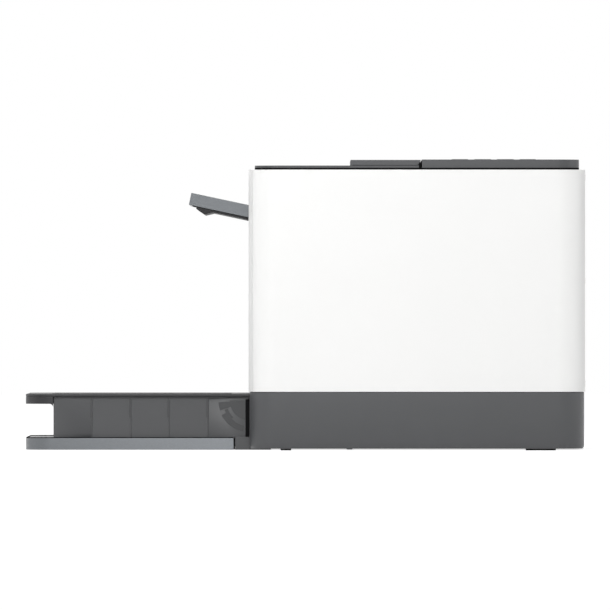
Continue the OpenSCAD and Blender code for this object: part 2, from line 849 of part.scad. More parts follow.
// Document tray: a raised flap that tips up on two pins at its rear edge
leaf_front = seam_y - tray_len;
leaf_top = cover_top - close;
leaf_slant = 3;
leaf_skin = 1.2;
leaf_thin = 0.8;

module document_tray() color(grey) settled() {
    difference() {
        along_x(tray_x0, tray_x1, [[leaf_front, tray_z], [leaf_front, leaf_top],
            [seam_y, leaf_top], [seam_y - leaf_slant, tray_z]]);
        difference() {
            box([tray_x0 + skin, leaf_front + skin, tray_z - cut],
                [tray_x1 - skin, seam_y - seam_lap, leaf_top - leaf_skin]);
            for (share = tray_ear_shares, s = [-1, 1]) {
                x = tray_x0 + share * (tray_x1 - tray_x0) + s * 1.75 * skin;
                box([x - skin / 2, tray_pin_y - 2 * skin, tray_z], [x + skin / 2, seam_y, leaf_top]);
            }
        }
        for (share = tray_ear_shares) {
            x = tray_x0 + share * (tray_x1 - tray_x0);
            rod(x - 3 * skin, x + 3 * skin, tray_pin_r + run, tray_pin_y, tray_pin_z);
            box([x - skin, tray_pin_y - 2 * skin, tray_z - cut], [x + skin, tray_pin_y + 1.2 * skin,
                leaf_top - leaf_thin]);
        }
    }
}

// Document guides: two low fences that close on the sheets together
fence_h = 3.3;
fence_t = 3;
fence_foot = 12;
fence_foot_t = 1;
fence_in = [6, 44];
fence_x = shifted(hump_x, fence_in);
fence_z = well_z + slip;

module document_guide_front() color(dark_grey) settled() {
    y = well_front + slip;
    box([fence_x[0], y, fence_z], [fence_x[1], y + fence_t, fence_z + fence_h]);
    box([fence_x[0], y, fence_z], [fence_x[1], y + fence_foot, fence_z + fence_foot_t]);
}

module document_guide_rear() color(dark_grey) settled() {
    y = well_rear - slip;
    box([fence_x[0], y - fence_t, fence_z], [fence_x[1], y, fence_z + fence_h]);
    box([fence_x[0], y - fence_foot, fence_z], [fence_x[1], y, fence_z + fence_foot_t]);
}

// Feeder's cover: level with the rear cover, hinged at the left, open towards the well
hump_top = shell_top + hump_h;
hump_low = plate_top + slip;
hump_left = -top_w / 2;
hump_point_shares = [[0, 0], [0, 0.55], [0.012, 0.85], [0.04, 1], [0.99, 1], [1, 0.8]];
hump_slot_h = 2;
hump_relief = 1.2;
hump_web_drop = 0.8;

module hump_shape(inset) {
    w = hump_w - 2 * inset;
    h = hump_top - hump_low - inset;
    translate([hump_left + inset, hump_low - (inset > 0 ? cut : 0)])
        polygon(concat([for (p = hump_point_shares) [p[0] * w, p[1] * h + (p[1] > 0 && inset > 0
            ? cut : 0)]], [[w, 0]]));
}

module hump_run(y0, y1, inset) {
    translate([0, y1, 0]) rotate([90, 0, 0]) linear_extrude(y1 - y0) hump_shape(inset);
}

module feeder_cover() color(grey) settled() {
    difference() {
        intersection() {
            hump_run(hump_y, top_d / 2, 0);
            slab(top_w, top_d, far, top_r, 0);
        }
        hump_run(hump_y + lid_skin, top_d / 2 - lid_skin, lid_skin);
        // Slot for the sheets, and relief under the hinge
        box([hump_x - 3 * lid_skin, hump_y + lid_skin, 0], [far, top_d / 2 - lid_skin,
            well_z + hump_slot_h]);
        box([-far, -far, 0], [hump_left + lid_skin + cut, far, hump_low + hump_relief]);
        rod_y(-far, far, hump_pin_r + run, hump_pin_x, hump_pin_z);
    }
    // Webs that turn on the pins
    for (y = hump_ears, s = [-1, 1]) difference() {
        y0 = y + skin / 2 + s * (skin + slip) - skin / 2;
        intersection() {
            hump_run(y0, y0 + skin, lid_skin / 2);
            box([-far, -far, hump_low - hump_web_drop], [hump_pin_x + 3 * hump_pin_r, far, far]);
        }
        rod_y(-far, far, hump_pin_r + run, hump_pin_x, hump_pin_z);
    }
}

feed_pads = [20, 60];
feed_pad_w = 20;

module feeder_roller() color(black) settled() {
    rod_y(hump_y + lid_skin + 2 * slip, top_d / 2 - lid_skin - 2 * slip, feeder_shaft_r, feed_x,
        feed_z);
    for (y = feed_pads) rod_y(y, y + feed_pad_w, feeder_r, feed_x, feed_z);
}

// Print engine: two steel side frames carry its rollers
frame_in = 11;
frame_rear = half_d - frame_in;
frame_low = base_top + slip;
frame_high = bed_z - slip;
guide_in = 22.5;
guide_out = 27.5;
nip_gap = 0.4;
transfer_at = [drum_at[0], drum_at[1] - drum_r - nip_gap - transfer_r];
developer_r = 8;
developer_up = 6;
developer_at = [drum_at[0] - drum_r - developer_r, drum_at[1] + developer_up];
heat_at = [pressure_at[0], pressure_at[1] + 2 * fuser_r + nip_gap];
heater_shaft_r = 8;
small_shaft_r = 3;
shaft_places = [pick_at, register_at, transfer_at, drum_at, exit_at];
shaft_end = frame_x + frame_t;

// Toner hopper with the end plates that carry the drum and the developer roller
hopper_in = 32;
hopper_half = frame_x - hopper_in;
end_t = 3;
hopper_reach = [-78, -31];
hopper_y = shifted(drum_at[0], hopper_reach);
hopper_rise = [-11, 37];
hopper_z = shifted(drum_at[1], hopper_rise);
hood_reach = [20, 22];
hood_back = drum_at[0] + hood_reach[0];
hood_z = drum_at[1] + hood_reach[1];
tab_up = 26;
tab_z = drum_at[1] + tab_up;

// Laser unit above the drum, between the hopper and the scanner
shelf_reach = [-78, 62];
shelf_y = shifted(drum_at[0], shelf_reach);
laser_drop = 23.55;
laser_shelf_z = (hopper_z[1] + bed_z) / 2 - laser_drop;
laser_in = 38;
laser_half = frame_x - laser_in;
laser_reach = [-70, 54];
laser_y = shifted(drum_at[0], laser_reach);
laser_z = laser_shelf_z + frame_t + close;
laser_h = 34;
laser_wall = 2.5;
beam_slot = 4;
mirror_r = 15;
mirror_h = 6;
mirror_back = 26;
mirror_y = drum_at[0] + mirror_back;
mirror_shaft_r = 3;
mirror_post_h = 4;

module side_frames() color(steel) settled() {
    difference() {
        side_boxes(frame_x, frame_x + frame_t, frame_back + slip, frame_rear, frame_low, frame_high);
        for (p = shaft_places) rod(-half_w, half_w, shaft_r + run, p[0], p[1]);
    }
    // Shelf of the laser unit, with a slot for the beam
    difference() {
        box([-frame_x - cut, shelf_y[0], laser_shelf_z],
            [frame_x + cut, shelf_y[1], laser_shelf_z + frame_t]);
        box([-laser_half, drum_at[0] - beam_slot, laser_shelf_z - cut],
            [laser_half, drum_at[0] + beam_slot, laser_shelf_z + 2 * cut]);
    }
}

module laser_housing() color(black) settled() {
    difference() {
        box([-laser_half, laser_y[0], laser_z], [laser_half, laser_y[1],
            laser_z + laser_h + frame_t]);
        box([-laser_half + laser_wall, laser_y[0] + laser_wall, laser_z + laser_wall],
            [laser_half - laser_wall, laser_y[1] - laser_wall, laser_z + laser_h]);
        box([-laser_half + laser_wall, drum_at[0] - beam_slot / 2, laser_z - cut],
            [laser_half - laser_wall, drum_at[0] + beam_slot / 2, laser_z + laser_wall + cut]);
    }
    // Bearing of the polygon mirror, and the lens in front of it
    difference() {
        translate([0, mirror_y, laser_z]) cylinder(h = laser_wall + mirror_post_h,
            r = mirror_r - 2 * skin);
        translate([0, mirror_y, laser_z + laser_wall]) cylinder(h = laser_h, r = mirror_shaft_r + run);
    }
    box([-laser_half / 2, laser_y[0] + 4 * laser_wall, laser_z], [laser_half / 2,
        laser_y[0] + 7 * laser_wall, laser_z + laser_h / 2]);
}

module polygon_mirror() color(steel) settled() {
    translate([0, mirror_y, laser_z + laser_wall + close])
        cylinder(h = laser_h / 2, r = mirror_shaft_r);
    translate([0, mirror_y, laser_z + laser_wall + mirror_post_h + slip]) {
        cylinder(h = laser_h / 4, r = mirror_r / 2);
        translate([0, 0, skin]) cylinder(h = mirror_h, r = mirror_r, $fn = 6);
    }
}

module hopper_profile() {
    along_x(-hopper_half - end_t, hopper_half + end_t, [
        [hopper_y[0], hopper_z[0]], [hopper_y[0], hopper_z[1]], [hood_back, hopper_z[1]],
        [hood_back, hood_z], [hopper_y[1], hood_z], [hopper_y[1], hopper_z[0]]]);
}

module toner_hopper() color(black) settled() {
    difference() {
        union() {
            hopper_profile();
            side_boxes(hopper_half, hopper_half + end_t, hopper_y[0], hood_back, hopper_z[0],
                hopper_z[1]);
            side_boxes(hopper_half, frame_x - close, hopper_y[0], hopper_y[1], tab_z,
                tab_z + end_t);
        }
        box([-hopper_half, hopper_y[0] + end_t, hopper_z[0] + end_t],
            [hopper_half, hopper_y[1] - end_t, hopper_z[1] - end_t]);
        for (p = [drum_at, developer_at]) rod(-half_w, half_w, shaft_r + run, p[0], p[1]);
    }
}

// Depth and height of a tooth in modules, and half its width at the root and tip in pitches
tooth_shares = [1.15, 0.85, 0.31, 0.11];

// A gear whose teeth are straight-sided wedges; phase is in degrees
module gear(teeth, width, bore_r, phase) {
    pitch = 360 / teeth;
    root = gear_module * (teeth / 2 - tooth_shares[0]);
    tip = gear_module * (teeth / 2 + tooth_shares[1]);
    linear_extrude(width) difference() {
        polygon([for (i = [0:teeth - 1], p = [[root, -tooth_shares[2]], [tip, -tooth_shares[3]],
            [tip, tooth_shares[3]], [root, tooth_shares[2]]])
            let (a = phase + (i + p[1]) * pitch) [p[0] * cos(a), p[0] * sin(a)]]);
        if (bore_r > 0) circle(r = bore_r);
    }
}

drum_teeth = 48;
pinion_teeth = 16;
gear_w = 8;
gear_out = 12;
gear_x = -frame_x - frame_t - gear_out;
motor_at = [drum_at[0], drum_at[1] + gear_module * (drum_teeth + pinion_teeth) / 2];
motor_r = 21;
motor_l = 26;
motor_gap = 4;
motor_x = gear_x - motor_gap;
motor_shaft_r = 2.5;
motor_flange = 60;
post_end_x = -frame_x - frame_t - close;

// Gears are drawn in Y and Z, with their width along X
module gear_at(x, place, teeth, bore_r, phase) {
    translate([x, place[0], place[1]]) rotate([90, 0, 90]) gear(teeth, gear_w, bore_r, phase);
}

module photo_drum() color("#2c7a6b") settled() {
    rod(-hopper_half + 2 * skin, hopper_half - 2 * skin, drum_r, drum_at[0], drum_at[1]);
    rod(gear_x, shaft_end, shaft_r, drum_at[0], drum_at[1]);
    gear_at(gear_x, drum_at, drum_teeth, 0, 90);
}

module motor_pinion() color(steel) settled() {
    rod(motor_x - 4 * skin, gear_x + gear_w, motor_shaft_r, motor_at[0], motor_at[1]);
    gear_at(gear_x, motor_at, pinion_teeth, 0, 90 + 180 / pinion_teeth);
}

module drive_motor() color(dark_grey) settled() {
    difference() {
        union() {
            rod(motor_x - motor_l, motor_x - skin, motor_r, motor_at[0], motor_at[1]);
            box([motor_x - skin, motor_at[0] - motor_flange / 2 - 2 * shaft_r,
                motor_at[1] - motor_r / 2], [motor_x, motor_at[0] + motor_flange / 2 + 2 * shaft_r,
                motor_at[1] + motor_flange / 2]);
            for (s = [-1, 1])
                rod(motor_x - cut, post_end_x, small_shaft_r,
                    motor_at[0] + s * (motor_flange / 2 + shaft_r), motor_at[1] + shaft_r);
        }
        rod(motor_x - 5 * skin, 0, motor_shaft_r + run, motor_at[0], motor_at[1]);
    }
}

module plain_roller(half, r, shaft, end, at) {
    rod(-half, half, r, at[0], at[1]);
    rod(-end, end, shaft, at[0], at[1]);
}

module developer_roller() color(dark_grey) settled()
    plain_roller(hopper_half - 2 * skin, developer_r - nip_gap, shaft_r, hopper_half + end_t + skin,
        developer_at);

module transfer_roller() color(black) settled()
    plain_roller(hopper_half, transfer_r, shaft_r, shaft_end, transfer_at);

module registration_roller() color(black) settled()
    plain_roller(hopper_half, feed_r, shaft_r, shaft_end, register_at);

module pick_roller() color(dark_grey) settled()
    plain_roller(3 * feed_r, pick_r, shaft_r, shaft_end, pick_at);

module exit_roller() color(black) settled() {
    rod(-shaft_end, shaft_end, shaft_r, exit_at[0], exit_at[1]);
    for (share = [-0.8, -0.3, 0.3, 0.8])
        rod(share * hopper_half - feed_r, share * hopper_half + feed_r, feed_r, exit_at[0],
            exit_at[1]);
}

// Fuser: end plates and a top cover round the heat and pressure rollers
fuser_in = [21, 13];
fuser_half = frame_x - fuser_in[0];
fuser_end = frame_x - fuser_in[1];
fuser_deep = 21;
fuser_foot = 12.8;
fuser_low = pressure_at[1] - fuser_foot;
fuser_room = 4.8;
fuser_top = heat_at[1] + fuser_r + fuser_room;
fuser_slit = 4;
fuser_cover_t = 3;
lamp_cap_r = 5;

module fuser_housing() color(black) settled() {
    difference() {
        union() {
            side_boxes(fuser_half + skin, fuser_half + skin + end_t, pressure_at[0] - fuser_deep,
                pressure_at[0] + fuser_deep, fuser_low, fuser_top);
            box([-fuser_half - skin - cut, pressure_at[0] - fuser_deep, fuser_top - fuser_cover_t],
                [fuser_half + skin + cut, pressure_at[0] + fuser_deep, fuser_top]);
            box([-fuser_half - skin - cut, pressure_at[0] - fuser_deep,
                pressure_at[1] + fuser_r + fuser_slit],
                [fuser_half + skin + cut, pressure_at[0] - fuser_deep + skin, fuser_top]);
            side_boxes(fuser_half + skin, frame_x - close, pressure_at[0] - fuser_deep,
                pressure_at[0] + fuser_deep, fuser_low, fuser_low + end_t);
        }
        rod(-half_w, half_w, heater_shaft_r + run, heat_at[0], heat_at[1]);
        rod(-half_w, half_w, shaft_r + run, pressure_at[0], pressure_at[1]);
    }
}

module heat_roller() color("#8c3b2a") settled() {
    difference() {
        union() {
            rod(-fuser_half, fuser_half, fuser_r, heat_at[0], heat_at[1]);
            rod(-fuser_end, fuser_end, heater_shaft_r, heat_at[0], heat_at[1]);
        }
        rod(-half_w, half_w, heater_shaft_r - skin, heat_at[0], heat_at[1]);
    }
}

module pressure_roller() color("#b0532f") settled() {
    rod(-fuser_half, fuser_half, fuser_r, pressure_at[0], pressure_at[1]);
    rod(-fuser_end, fuser_end, shaft_r, pressure_at[0], pressure_at[1]);
}

module fuser_lamp() color(clear) settled() {
    rod(-frame_x + 5 * skin, frame_x - 5 * skin, small_shaft_r, heat_at[0], heat_at[1]);
    for (s = [-1, 1])
        rod(s * (frame_x - 2.5 * skin) - 2.5 * skin + close,
            s * (frame_x - 2.5 * skin) + 2.5 * skin - close, lamp_cap_r, heat_at[0],
            heat_at[1]);
}

// Half-round guides that turn the sheet from the cassette up to the registration roller
guide_side = 30;
guide_half = frame_x - guide_side;
guide_t = 1.5;

module half_shell(r) {
    intersection() {
        difference() {
            rod(-guide_half, guide_half, r, guide_at[0], guide_at[1]);
            rod(-half_w, half_w, r - guide_t, guide_at[0], guide_at[1]);
        }
        box([-half_w, guide_at[0], 0], [half_w, half_d, shell_top]);
    }
}

module turn_guide() color(black) settled() {
    half_shell(guide_out + guide_t);
    half_shell(guide_in + guide_t);
    // Webs at both ends, with feet that reach the side frames
    difference() {
        side_boxes(guide_half, guide_half + skin, guide_at[0], frame_rear, guide_at[1],
            guide_at[1] + guide_in);
        rod(-half_w, half_w, guide_in - 2 * skin, guide_at[0], guide_at[1]);
    }
    side_boxes(guide_half, frame_x - close, frame_rear - 2 * skin, frame_rear, guide_at[1],
        guide_at[1] + skin);
}

// Electronics
board_gap = 4;
board_x = frame_x + frame_t + board_gap;
board_t = 1.6;
board_reach = [-78, 102];
board_y = shifted(drum_at[0], board_reach);
board_rise = [-40, 78];
board_z = shifted(drum_at[1], board_rise);
// Processor, memory and plugs: place on the board, size and pitch
chip_at = [60, 48];
chip_size = [4, 30, 30];
memory_at = [10, 23];
memory_size = [3, 8, 15];
memory_pitch = 12;
plug_at = [105, 98];
plug_size = [8, 10, 6];
plug_pitch = 14;

module on_board(at, size, count, pitch) {
    for (i = [0:count - 1])
        translate([board_x, board_y[0] + at[0] + i * pitch, board_z[0] + at[1]]) cube(size);
}

module main_board() color(green) settled() {
    box([board_x, board_y[0], board_z[0]], [board_x + board_t, board_y[1], board_z[1]]);
    for (y = [board_y[0] + 3 * skin, board_y[1] - 6 * skin],
        z = [board_z[0] + 3 * skin, board_z[1] - 3 * skin])
        rod(frame_x + frame_t + close, board_x + cut, skin, y, z);
    on_board(chip_at, chip_size, 1, 0);
    on_board(memory_at, memory_size, 4, memory_pitch);
    on_board(plug_at, plug_size, 5, plug_pitch);
}

supply_reach = [46, 161];
supply_y = shifted(front_y, supply_reach);
supply_h = 62.5;
supply_z = [frame_low, frame_low + supply_h];
supply_gap = 15.2;
supply_x = [-half_w + shell_wall + supply_gap, -shaft_end - slip];
vent_pitch = 10;
supply_vents = floor((supply_y[1] - supply_y[0]) / vent_pitch) - 2;

module power_supply() color(steel) settled() {
    difference() {
        box([supply_x[0], supply_y[0], supply_z[0]], [supply_x[1], supply_y[1], supply_z[1]]);
        box([supply_x[0] + frame_t, supply_y[0] + frame_t, supply_z[0] + frame_t],
            [supply_x[1] - frame_t, supply_y[1] - frame_t, supply_z[1] - frame_t]);
        for (i = [1:supply_vents])
            box([supply_x[0] - cut, supply_y[0] + i * vent_pitch, supply_z[0] + vent_pitch],
                [supply_x[0] + 2 * frame_t, supply_y[0] + i * vent_pitch + slot_w,
                    supply_z[1] - vent_pitch]);
    }
}

// Cassette
tray_in = 4.5;
tray_half = cassette_w / 2 - tray_in;
tray_front = front_y + grip_d;
tray_rear = front_y + cassette_l;
strip_z = 0.7;
floor_z = strip_z + strip_h + slip;
floor_t = 2;
floor_top = floor_z + floor_t;
tray_top_z = deck_z - slip;
low_wall_h = 29;
low_wall_z = floor_top + low_wall_h;
deck_end = front_y + deck_l;
flange_gap = 2.9;
flange_start = deck_end + flange_gap;
skid_reach = [1.6, 37.9];
skid_y = shifted(front_y + strip_l, skid_reach);
skid_wall = 3;
side_rib_w = 1.2;
side_rib_h = 0.6;
side_ribs = [38.6, 77.9, 116.8, 156.4];
deck_pin_in = [5, 3.6];
deck_pin = [deck_end - deck_pin_in[0], deck_z - deck_pin_in[1]];
deck_pin_r = 2;
// Angle that the deck lifts by, in degrees
deck_lift = 30;
lift_half = 66;
lift_in = [109, 11];
lift_start = front_y + lift_in[0];
lift_end = tray_rear - lift_in[1];
lift_t = 1.5;
lift_gap = 0.5;
lift_z = floor_top + lift_gap;
lift_pin_r = 1;
lift_pin_up = 0.8;
lift_pin_z = lift_z + lift_pin_up;
lift_ear = 3;
lift_ear_h = 1.8;

module cassette_tray() color(dark_grey) pulled() {
    difference() {
        box([-tray_half, tray_front, floor_z], [tray_half, tray_rear, tray_top_z]);
        box([-tray_half + tray_wall, tray_front + tray_wall, floor_top],
            [tray_half - tray_wall, tray_rear - tray_wall, far]);
        box([-tray_half + tray_wall, tray_rear - 2 * tray_wall, low_wall_z],
            [tray_half - tray_wall, tray_rear + cut, far]);
        // Room for the deck's channel, and for its rear edge when it lifts
        box([-tray_half + tray_wall, tray_front - cut, ext_z - channel_t - 5 * slip],
            [tray_half - tray_wall, tray_front + tray_wall + cut, far]);
        along_x(-half_w, half_w, [
            [deck_pin[0] + swing, tray_top_z + cut], [deck_pin[0] + swing, tray_top_z],
            [flange_start, tray_top_z - (flange_start - deck_pin[0] - swing) * tan(deck_lift)],
            [flange_start, tray_top_z + cut]]);
        rod(-half_w, half_w, deck_pin_r + run, deck_pin[0], deck_pin[1]);
    }
    // Flanges that ride on the base's rails
    side_boxes(tray_half - tray_wall, cassette_w / 2, flange_start, tray_rear, deck_z,
        deck_z + deck_t);
    side_boxes(tray_half - tray_wall, tray_half, flange_start, tray_rear, tray_top_z - cut,
        deck_z + cut);
    // Skid behind the light front
    difference() {
        box([-cassette_w / 2, skid_y[0], strip_z], [cassette_w / 2, skid_y[1], floor_z + cut]);
        box([-cassette_w / 2 + skid_wall, skid_y[0] + skid_wall, strip_z - cut],
            [cassette_w / 2 - skid_wall, skid_y[1] - skid_wall, floor_z]);
    }
    for (y = side_ribs)
        side_boxes(tray_half - cut, tray_half + side_rib_h, tray_front + y, tray_front + y
            + side_rib_w, floor_z, tray_top_z);
    // Ears of the lift plate's hinge
    difference() {
        side_boxes(lift_half + slip, lift_half + slip + lift_ear, lift_start - lift_ear,
            lift_start + lift_ear, floor_top - cut, lift_pin_z + lift_ear_h);
        rod(-half_w, half_w, lift_pin_r + run, lift_start, lift_pin_z);
    }
}

// A slab of length l whose two front corners are round
module front_round(w, l, h, r, z) {
    intersection() {
        translate([0, front_y + l + r, 0]) slab(w, 2 * (l + r), h, r, z);
        box([-w, -far, 0], [w, front_y + l, far]);
    }
}

strip_wall = 3;

module cassette_front() color("#c9c9c6") pulled() {
    difference() {
        front_round(cassette_w, strip_l, strip_h, cassette_r, strip_z);
        translate([0, strip_wall, 0])
            front_round(cassette_w - 2 * strip_wall, strip_l - 2 * strip_wall, strip_h - strip_wall,
                cassette_r - strip_wall, strip_z - cut);
    }
}

module lift_plate() color(steel) pulled() {
    box([-lift_half, lift_start, lift_z], [lift_half, lift_end, lift_z + lift_t]);
    side_boxes(lift_half - skin, lift_half, lift_start - skin, lift_start + 3 * skin, lift_z,
        lift_pin_z + lift_pin_r);
    for (s = [-1, 1])
        rod(s * (lift_half + lift_ear / 2) - lift_ear / 2 - (s > 0 ? cut : 0),
            s * (lift_half + lift_ear / 2) + lift_ear / 2 + (s > 0 ? 0 : cut), lift_pin_r, lift_start,
            lift_pin_z);
}

guide_wall = 2;
guide_ends = [151, 41];
guide_y = [front_y + guide_ends[0], tray_rear - guide_ends[1]];
guide_h = 33;
guide_foot = 20;
guide_foot_t = 1.5;
sheet_gap = 0.5;

module side_guide() color(green) pulled() {
    x = sheet_w / 2 + sheet_gap;
    box([x, guide_y[0], floor_top + slip], [x + guide_wall, guide_y[1], floor_top + guide_h]);
    box([x, guide_y[0], floor_top + slip], [x + guide_foot, guide_y[1],
        floor_top + slip + guide_foot_t]);
}

module side_guide_right() side_guide();
module side_guide_left() mirror([1, 0, 0]) side_guide();

stop_half = 30;
stop_t = 4;
stop_h = 27;
stop_foot = 12;

module length_guide() color(green) pulled() {
    y = tray_front + tray_wall + slip;
    box([-stop_half, y, floor_top + slip], [stop_half, y + stop_t, floor_top + stop_h]);
    box([-stop_half, y, floor_top + slip], [stop_half, y + stop_foot,
        floor_top + slip + guide_foot_t]);
}

// Output deck: a plate with a channel under it for the extension
lip_z = deck_z + deck_t - lip_h;
lip_gap = 0.4;
lip_d = grip_d - lip_gap;
lip_wall = 2.5;
ext_half = 50;
ext_t = 2;
ext_z = deck_z - slip - ext_t;
ext_in = 33;
ext_end = deck_end - ext_in;
channel_lead = 15;
channel_start = front_y + lip_wall + slip;
channel_end = ext_end + channel_lead;
channel_t = 1.8;
channel_lap = 6;
notch_half = 24;
notch_l = 33;
notch_end = front_y + notch_l;
flap_half = 19.7;
flap_pin_r = 0.9;
flap_pin_in = [4.2, 1.2];
flap_pin = [front_y + flap_pin_in[0], deck_z + flap_pin_in[1]];
flap_end = notch_end - slip;
flap_t = 2;

module output_deck() color(black) pulled() {
    difference() {
        union() {
            front_round(cassette_w, deck_l, deck_t, cassette_r, deck_z);
            side_boxes(ext_half + slip, ext_half + slip + channel_t, channel_start, channel_end,
                ext_z - slip - channel_t, deck_z + cut);
            side_boxes(ext_half - channel_lap, ext_half + slip + channel_t, channel_start,
                channel_end, ext_z - slip - channel_t, ext_z - slip);
        }
        box([-ext_half - slip, front_y - cut, deck_z - cut], [ext_half + slip,
            front_y + lip_wall + slip, deck_z + deck_t + cut]);
        box([-notch_half, front_y - cut, ext_z], [notch_half, notch_end, deck_z + deck_t + cut]);
    }
}

// Under the deck: a hollow lip round its front, in two halves beside the extension, and the lugs
// and pins that hinge the deck in the cassette's side walls
module deck_lip() color(black) pulled() {
    lip_top = deck_z - close;
    x = tray_half - tray_wall - slip;
    side_boxes(x - 2 * skin, x, deck_pin[0] - 2 * deck_pin_r, deck_pin[0] + 2 * deck_pin_r,
        deck_pin[1] - 1.5 * deck_pin_r, lip_top);
    for (s = [-1, 1])
        rod(min(s * (x - skin), s * (x + tray_wall)), max(s * (x - skin), s * (x + tray_wall)),
            deck_pin_r, deck_pin[0], deck_pin[1]);
    difference() {
        front_round(cassette_w, lip_d, lip_top - lip_z, cassette_r, lip_z);
        translate([0, lip_wall, 0])
            front_round(cassette_w - 2 * lip_wall, lip_d - 2 * lip_wall, lip_h + lip_wall,
                cassette_r - lip_wall, lip_z - lip_wall);
        box([-ext_half - slip, front_y - cut, lip_z - cut], [ext_half + slip, 0, lip_top + cut]);
        box([-ext_half - channel_t - 2 * slip, front_y + lip_wall, lip_z - cut],
            [ext_half + channel_t + 2 * slip, 0, lip_top + cut]);
    }
}

module output_extension() color(black) pulled() {
    box([-ext_half, front_y + cut, ext_z], [ext_half, ext_end, ext_z + ext_t]);
    box([-ext_half, front_y, lip_z + skin], [ext_half, front_y + lip_wall, ext_z + ext_t + slip]);
    box([-ext_half, front_y, lip_z + skin], [-notch_half, front_y + lip_wall, deck_z + deck_t]);
    box([notch_half, front_y, lip_z + skin], [ext_half, front_y + lip_wall, deck_z + deck_t]);
    difference() {
        side_boxes(flap_half + slip, notch_half - slip, front_y, flap_pin[0] + skin,
            ext_z + cut, deck_z + deck_t);
        rod(-notch_half, notch_half, flap_pin_r + run, flap_pin[0], flap_pin[1]);
    }
}

// Paper stop: a flap that lies in the deck and stands up on two pins at its front edge
module paper_stop() color(black) pulled() {
    z = deck_z + deck_t - flap_t;
    box([-flap_half, flap_pin[0] - flap_pin_in[1], z], [flap_half, flap_end, z + flap_t]);
    rod(-notch_half + 3 * slip, notch_half - 3 * slip, flap_pin_r, flap_pin[0], flap_pin[1]);
}

base_housing();
bay_plate();
slide_rails();
feet();
side_covers();
rear_cover();
front_bezel();
front_frame();
side_frames();
laser_housing();
polygon_mirror();
toner_hopper();
photo_drum();
developer_roller();
transfer_roller();
fuser_housing();
heat_roller();
pressure_roller();
fuser_lamp();
registration_roller();
pick_roller();
exit_roller();
turn_guide();
drive_motor();
motor_pinion();
main_board();
power_supply();
mains_inlet();
port_sockets();
fan_frame();
fan_rotor();
rear_door();
front_door();
scanner_bed();
scanner_glass();
scan_carriage();
guide_rod();
lid_hinges();
scanner_lid();
lid_pad();
lid_rear_cover();
document_tray();
document_guide_front();
document_guide_rear();
feeder_cover();
feeder_roller();
cassette_tray();
cassette_front();
lift_plate();
side_guide_left();
side_guide_right();
length_guide();
output_deck();
deck_lip();
output_extension();
paper_stop();
panel_housing();
panel_underside();
display_glass();
power_button();
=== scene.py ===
"""Dresses the frame of a desktop multifunction laser printer and sets it in a plain studio."""
import json
import math
from functools import partial

import bmesh
import bpy
from mathutils import Matrix, Vector

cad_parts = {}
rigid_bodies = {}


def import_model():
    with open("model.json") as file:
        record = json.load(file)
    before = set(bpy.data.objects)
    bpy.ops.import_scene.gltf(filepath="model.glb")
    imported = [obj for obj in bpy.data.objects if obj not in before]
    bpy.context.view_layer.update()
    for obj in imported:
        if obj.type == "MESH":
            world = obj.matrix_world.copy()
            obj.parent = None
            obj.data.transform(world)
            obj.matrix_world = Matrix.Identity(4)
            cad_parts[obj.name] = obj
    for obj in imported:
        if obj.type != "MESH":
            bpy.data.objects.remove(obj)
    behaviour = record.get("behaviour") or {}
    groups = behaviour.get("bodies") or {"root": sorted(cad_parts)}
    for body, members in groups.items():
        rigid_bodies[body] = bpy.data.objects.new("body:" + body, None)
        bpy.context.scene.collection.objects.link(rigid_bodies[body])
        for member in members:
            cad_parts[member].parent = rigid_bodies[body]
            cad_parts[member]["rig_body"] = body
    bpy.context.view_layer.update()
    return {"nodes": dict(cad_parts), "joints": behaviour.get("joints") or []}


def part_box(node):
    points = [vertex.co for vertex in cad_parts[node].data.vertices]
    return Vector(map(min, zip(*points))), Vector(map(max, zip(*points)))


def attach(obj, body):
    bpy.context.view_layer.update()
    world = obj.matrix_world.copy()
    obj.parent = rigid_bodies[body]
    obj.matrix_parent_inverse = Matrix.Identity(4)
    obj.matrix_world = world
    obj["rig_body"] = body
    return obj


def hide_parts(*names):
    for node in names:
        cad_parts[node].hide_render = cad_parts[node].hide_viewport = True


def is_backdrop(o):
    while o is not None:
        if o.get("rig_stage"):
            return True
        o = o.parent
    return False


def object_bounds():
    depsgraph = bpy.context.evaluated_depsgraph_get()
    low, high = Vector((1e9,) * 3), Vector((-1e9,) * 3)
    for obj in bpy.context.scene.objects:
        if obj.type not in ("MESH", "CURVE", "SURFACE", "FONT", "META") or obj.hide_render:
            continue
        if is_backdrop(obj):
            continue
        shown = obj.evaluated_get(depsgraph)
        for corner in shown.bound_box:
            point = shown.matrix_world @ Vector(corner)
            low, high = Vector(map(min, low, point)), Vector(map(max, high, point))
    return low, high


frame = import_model()

bl_info = {
    "name": "Desktop laser printer",
    "version": (1, 0, 0),
    "blender": (4, 5, 0),
    "location": "View3D > Sidebar > Printer",
    "description": "Moulded covers, fittings, finishes and studio for a desktop laser printer",
    "category": "Add Mesh",
}

# Shapes are drawn in millimetres and turned to metres when a piece is finished
MM = 0.001
MERGE = 0.000002
FLAT = math.radians(0.5)
SHARP = math.radians(32)
# In millimetres: how close a point on a plane lies to it, and how far a fitting is let into the
# surface that it stands on
NEAR = 0.01
SUNK = 0.1
# Least share of a face's normal along the way that the face looks
FACING = 0.99


def linear(code):
    """Linear RGBA of an sRGB hex colour."""
    channels = [int(code[i:i + 2], 16) / 255 for i in (0, 2, 4)]
    return [c / 12.92 if c <= 0.04045 else ((c + 0.055) / 1.055) ** 2.4
            for c in channels] + [1.0]


def box_mm(node):
    """Lowest and highest corners of a node of the frame, in millimetres."""
    low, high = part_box(node)
    return low / MM, high / MM


def pivot_mm(joint):
    """Place of a hinge of the frame, in millimetres."""
    return next(Vector(row["pos_m"]) / MM for row in frame["joints"] if row["name"] == joint)


def colour_property(name, description, code):
    return bpy.props.FloatVectorProperty(name=name, description=description, subtype="COLOR",
                                         size=4, min=0.0, max=1.0, default=linear(code))


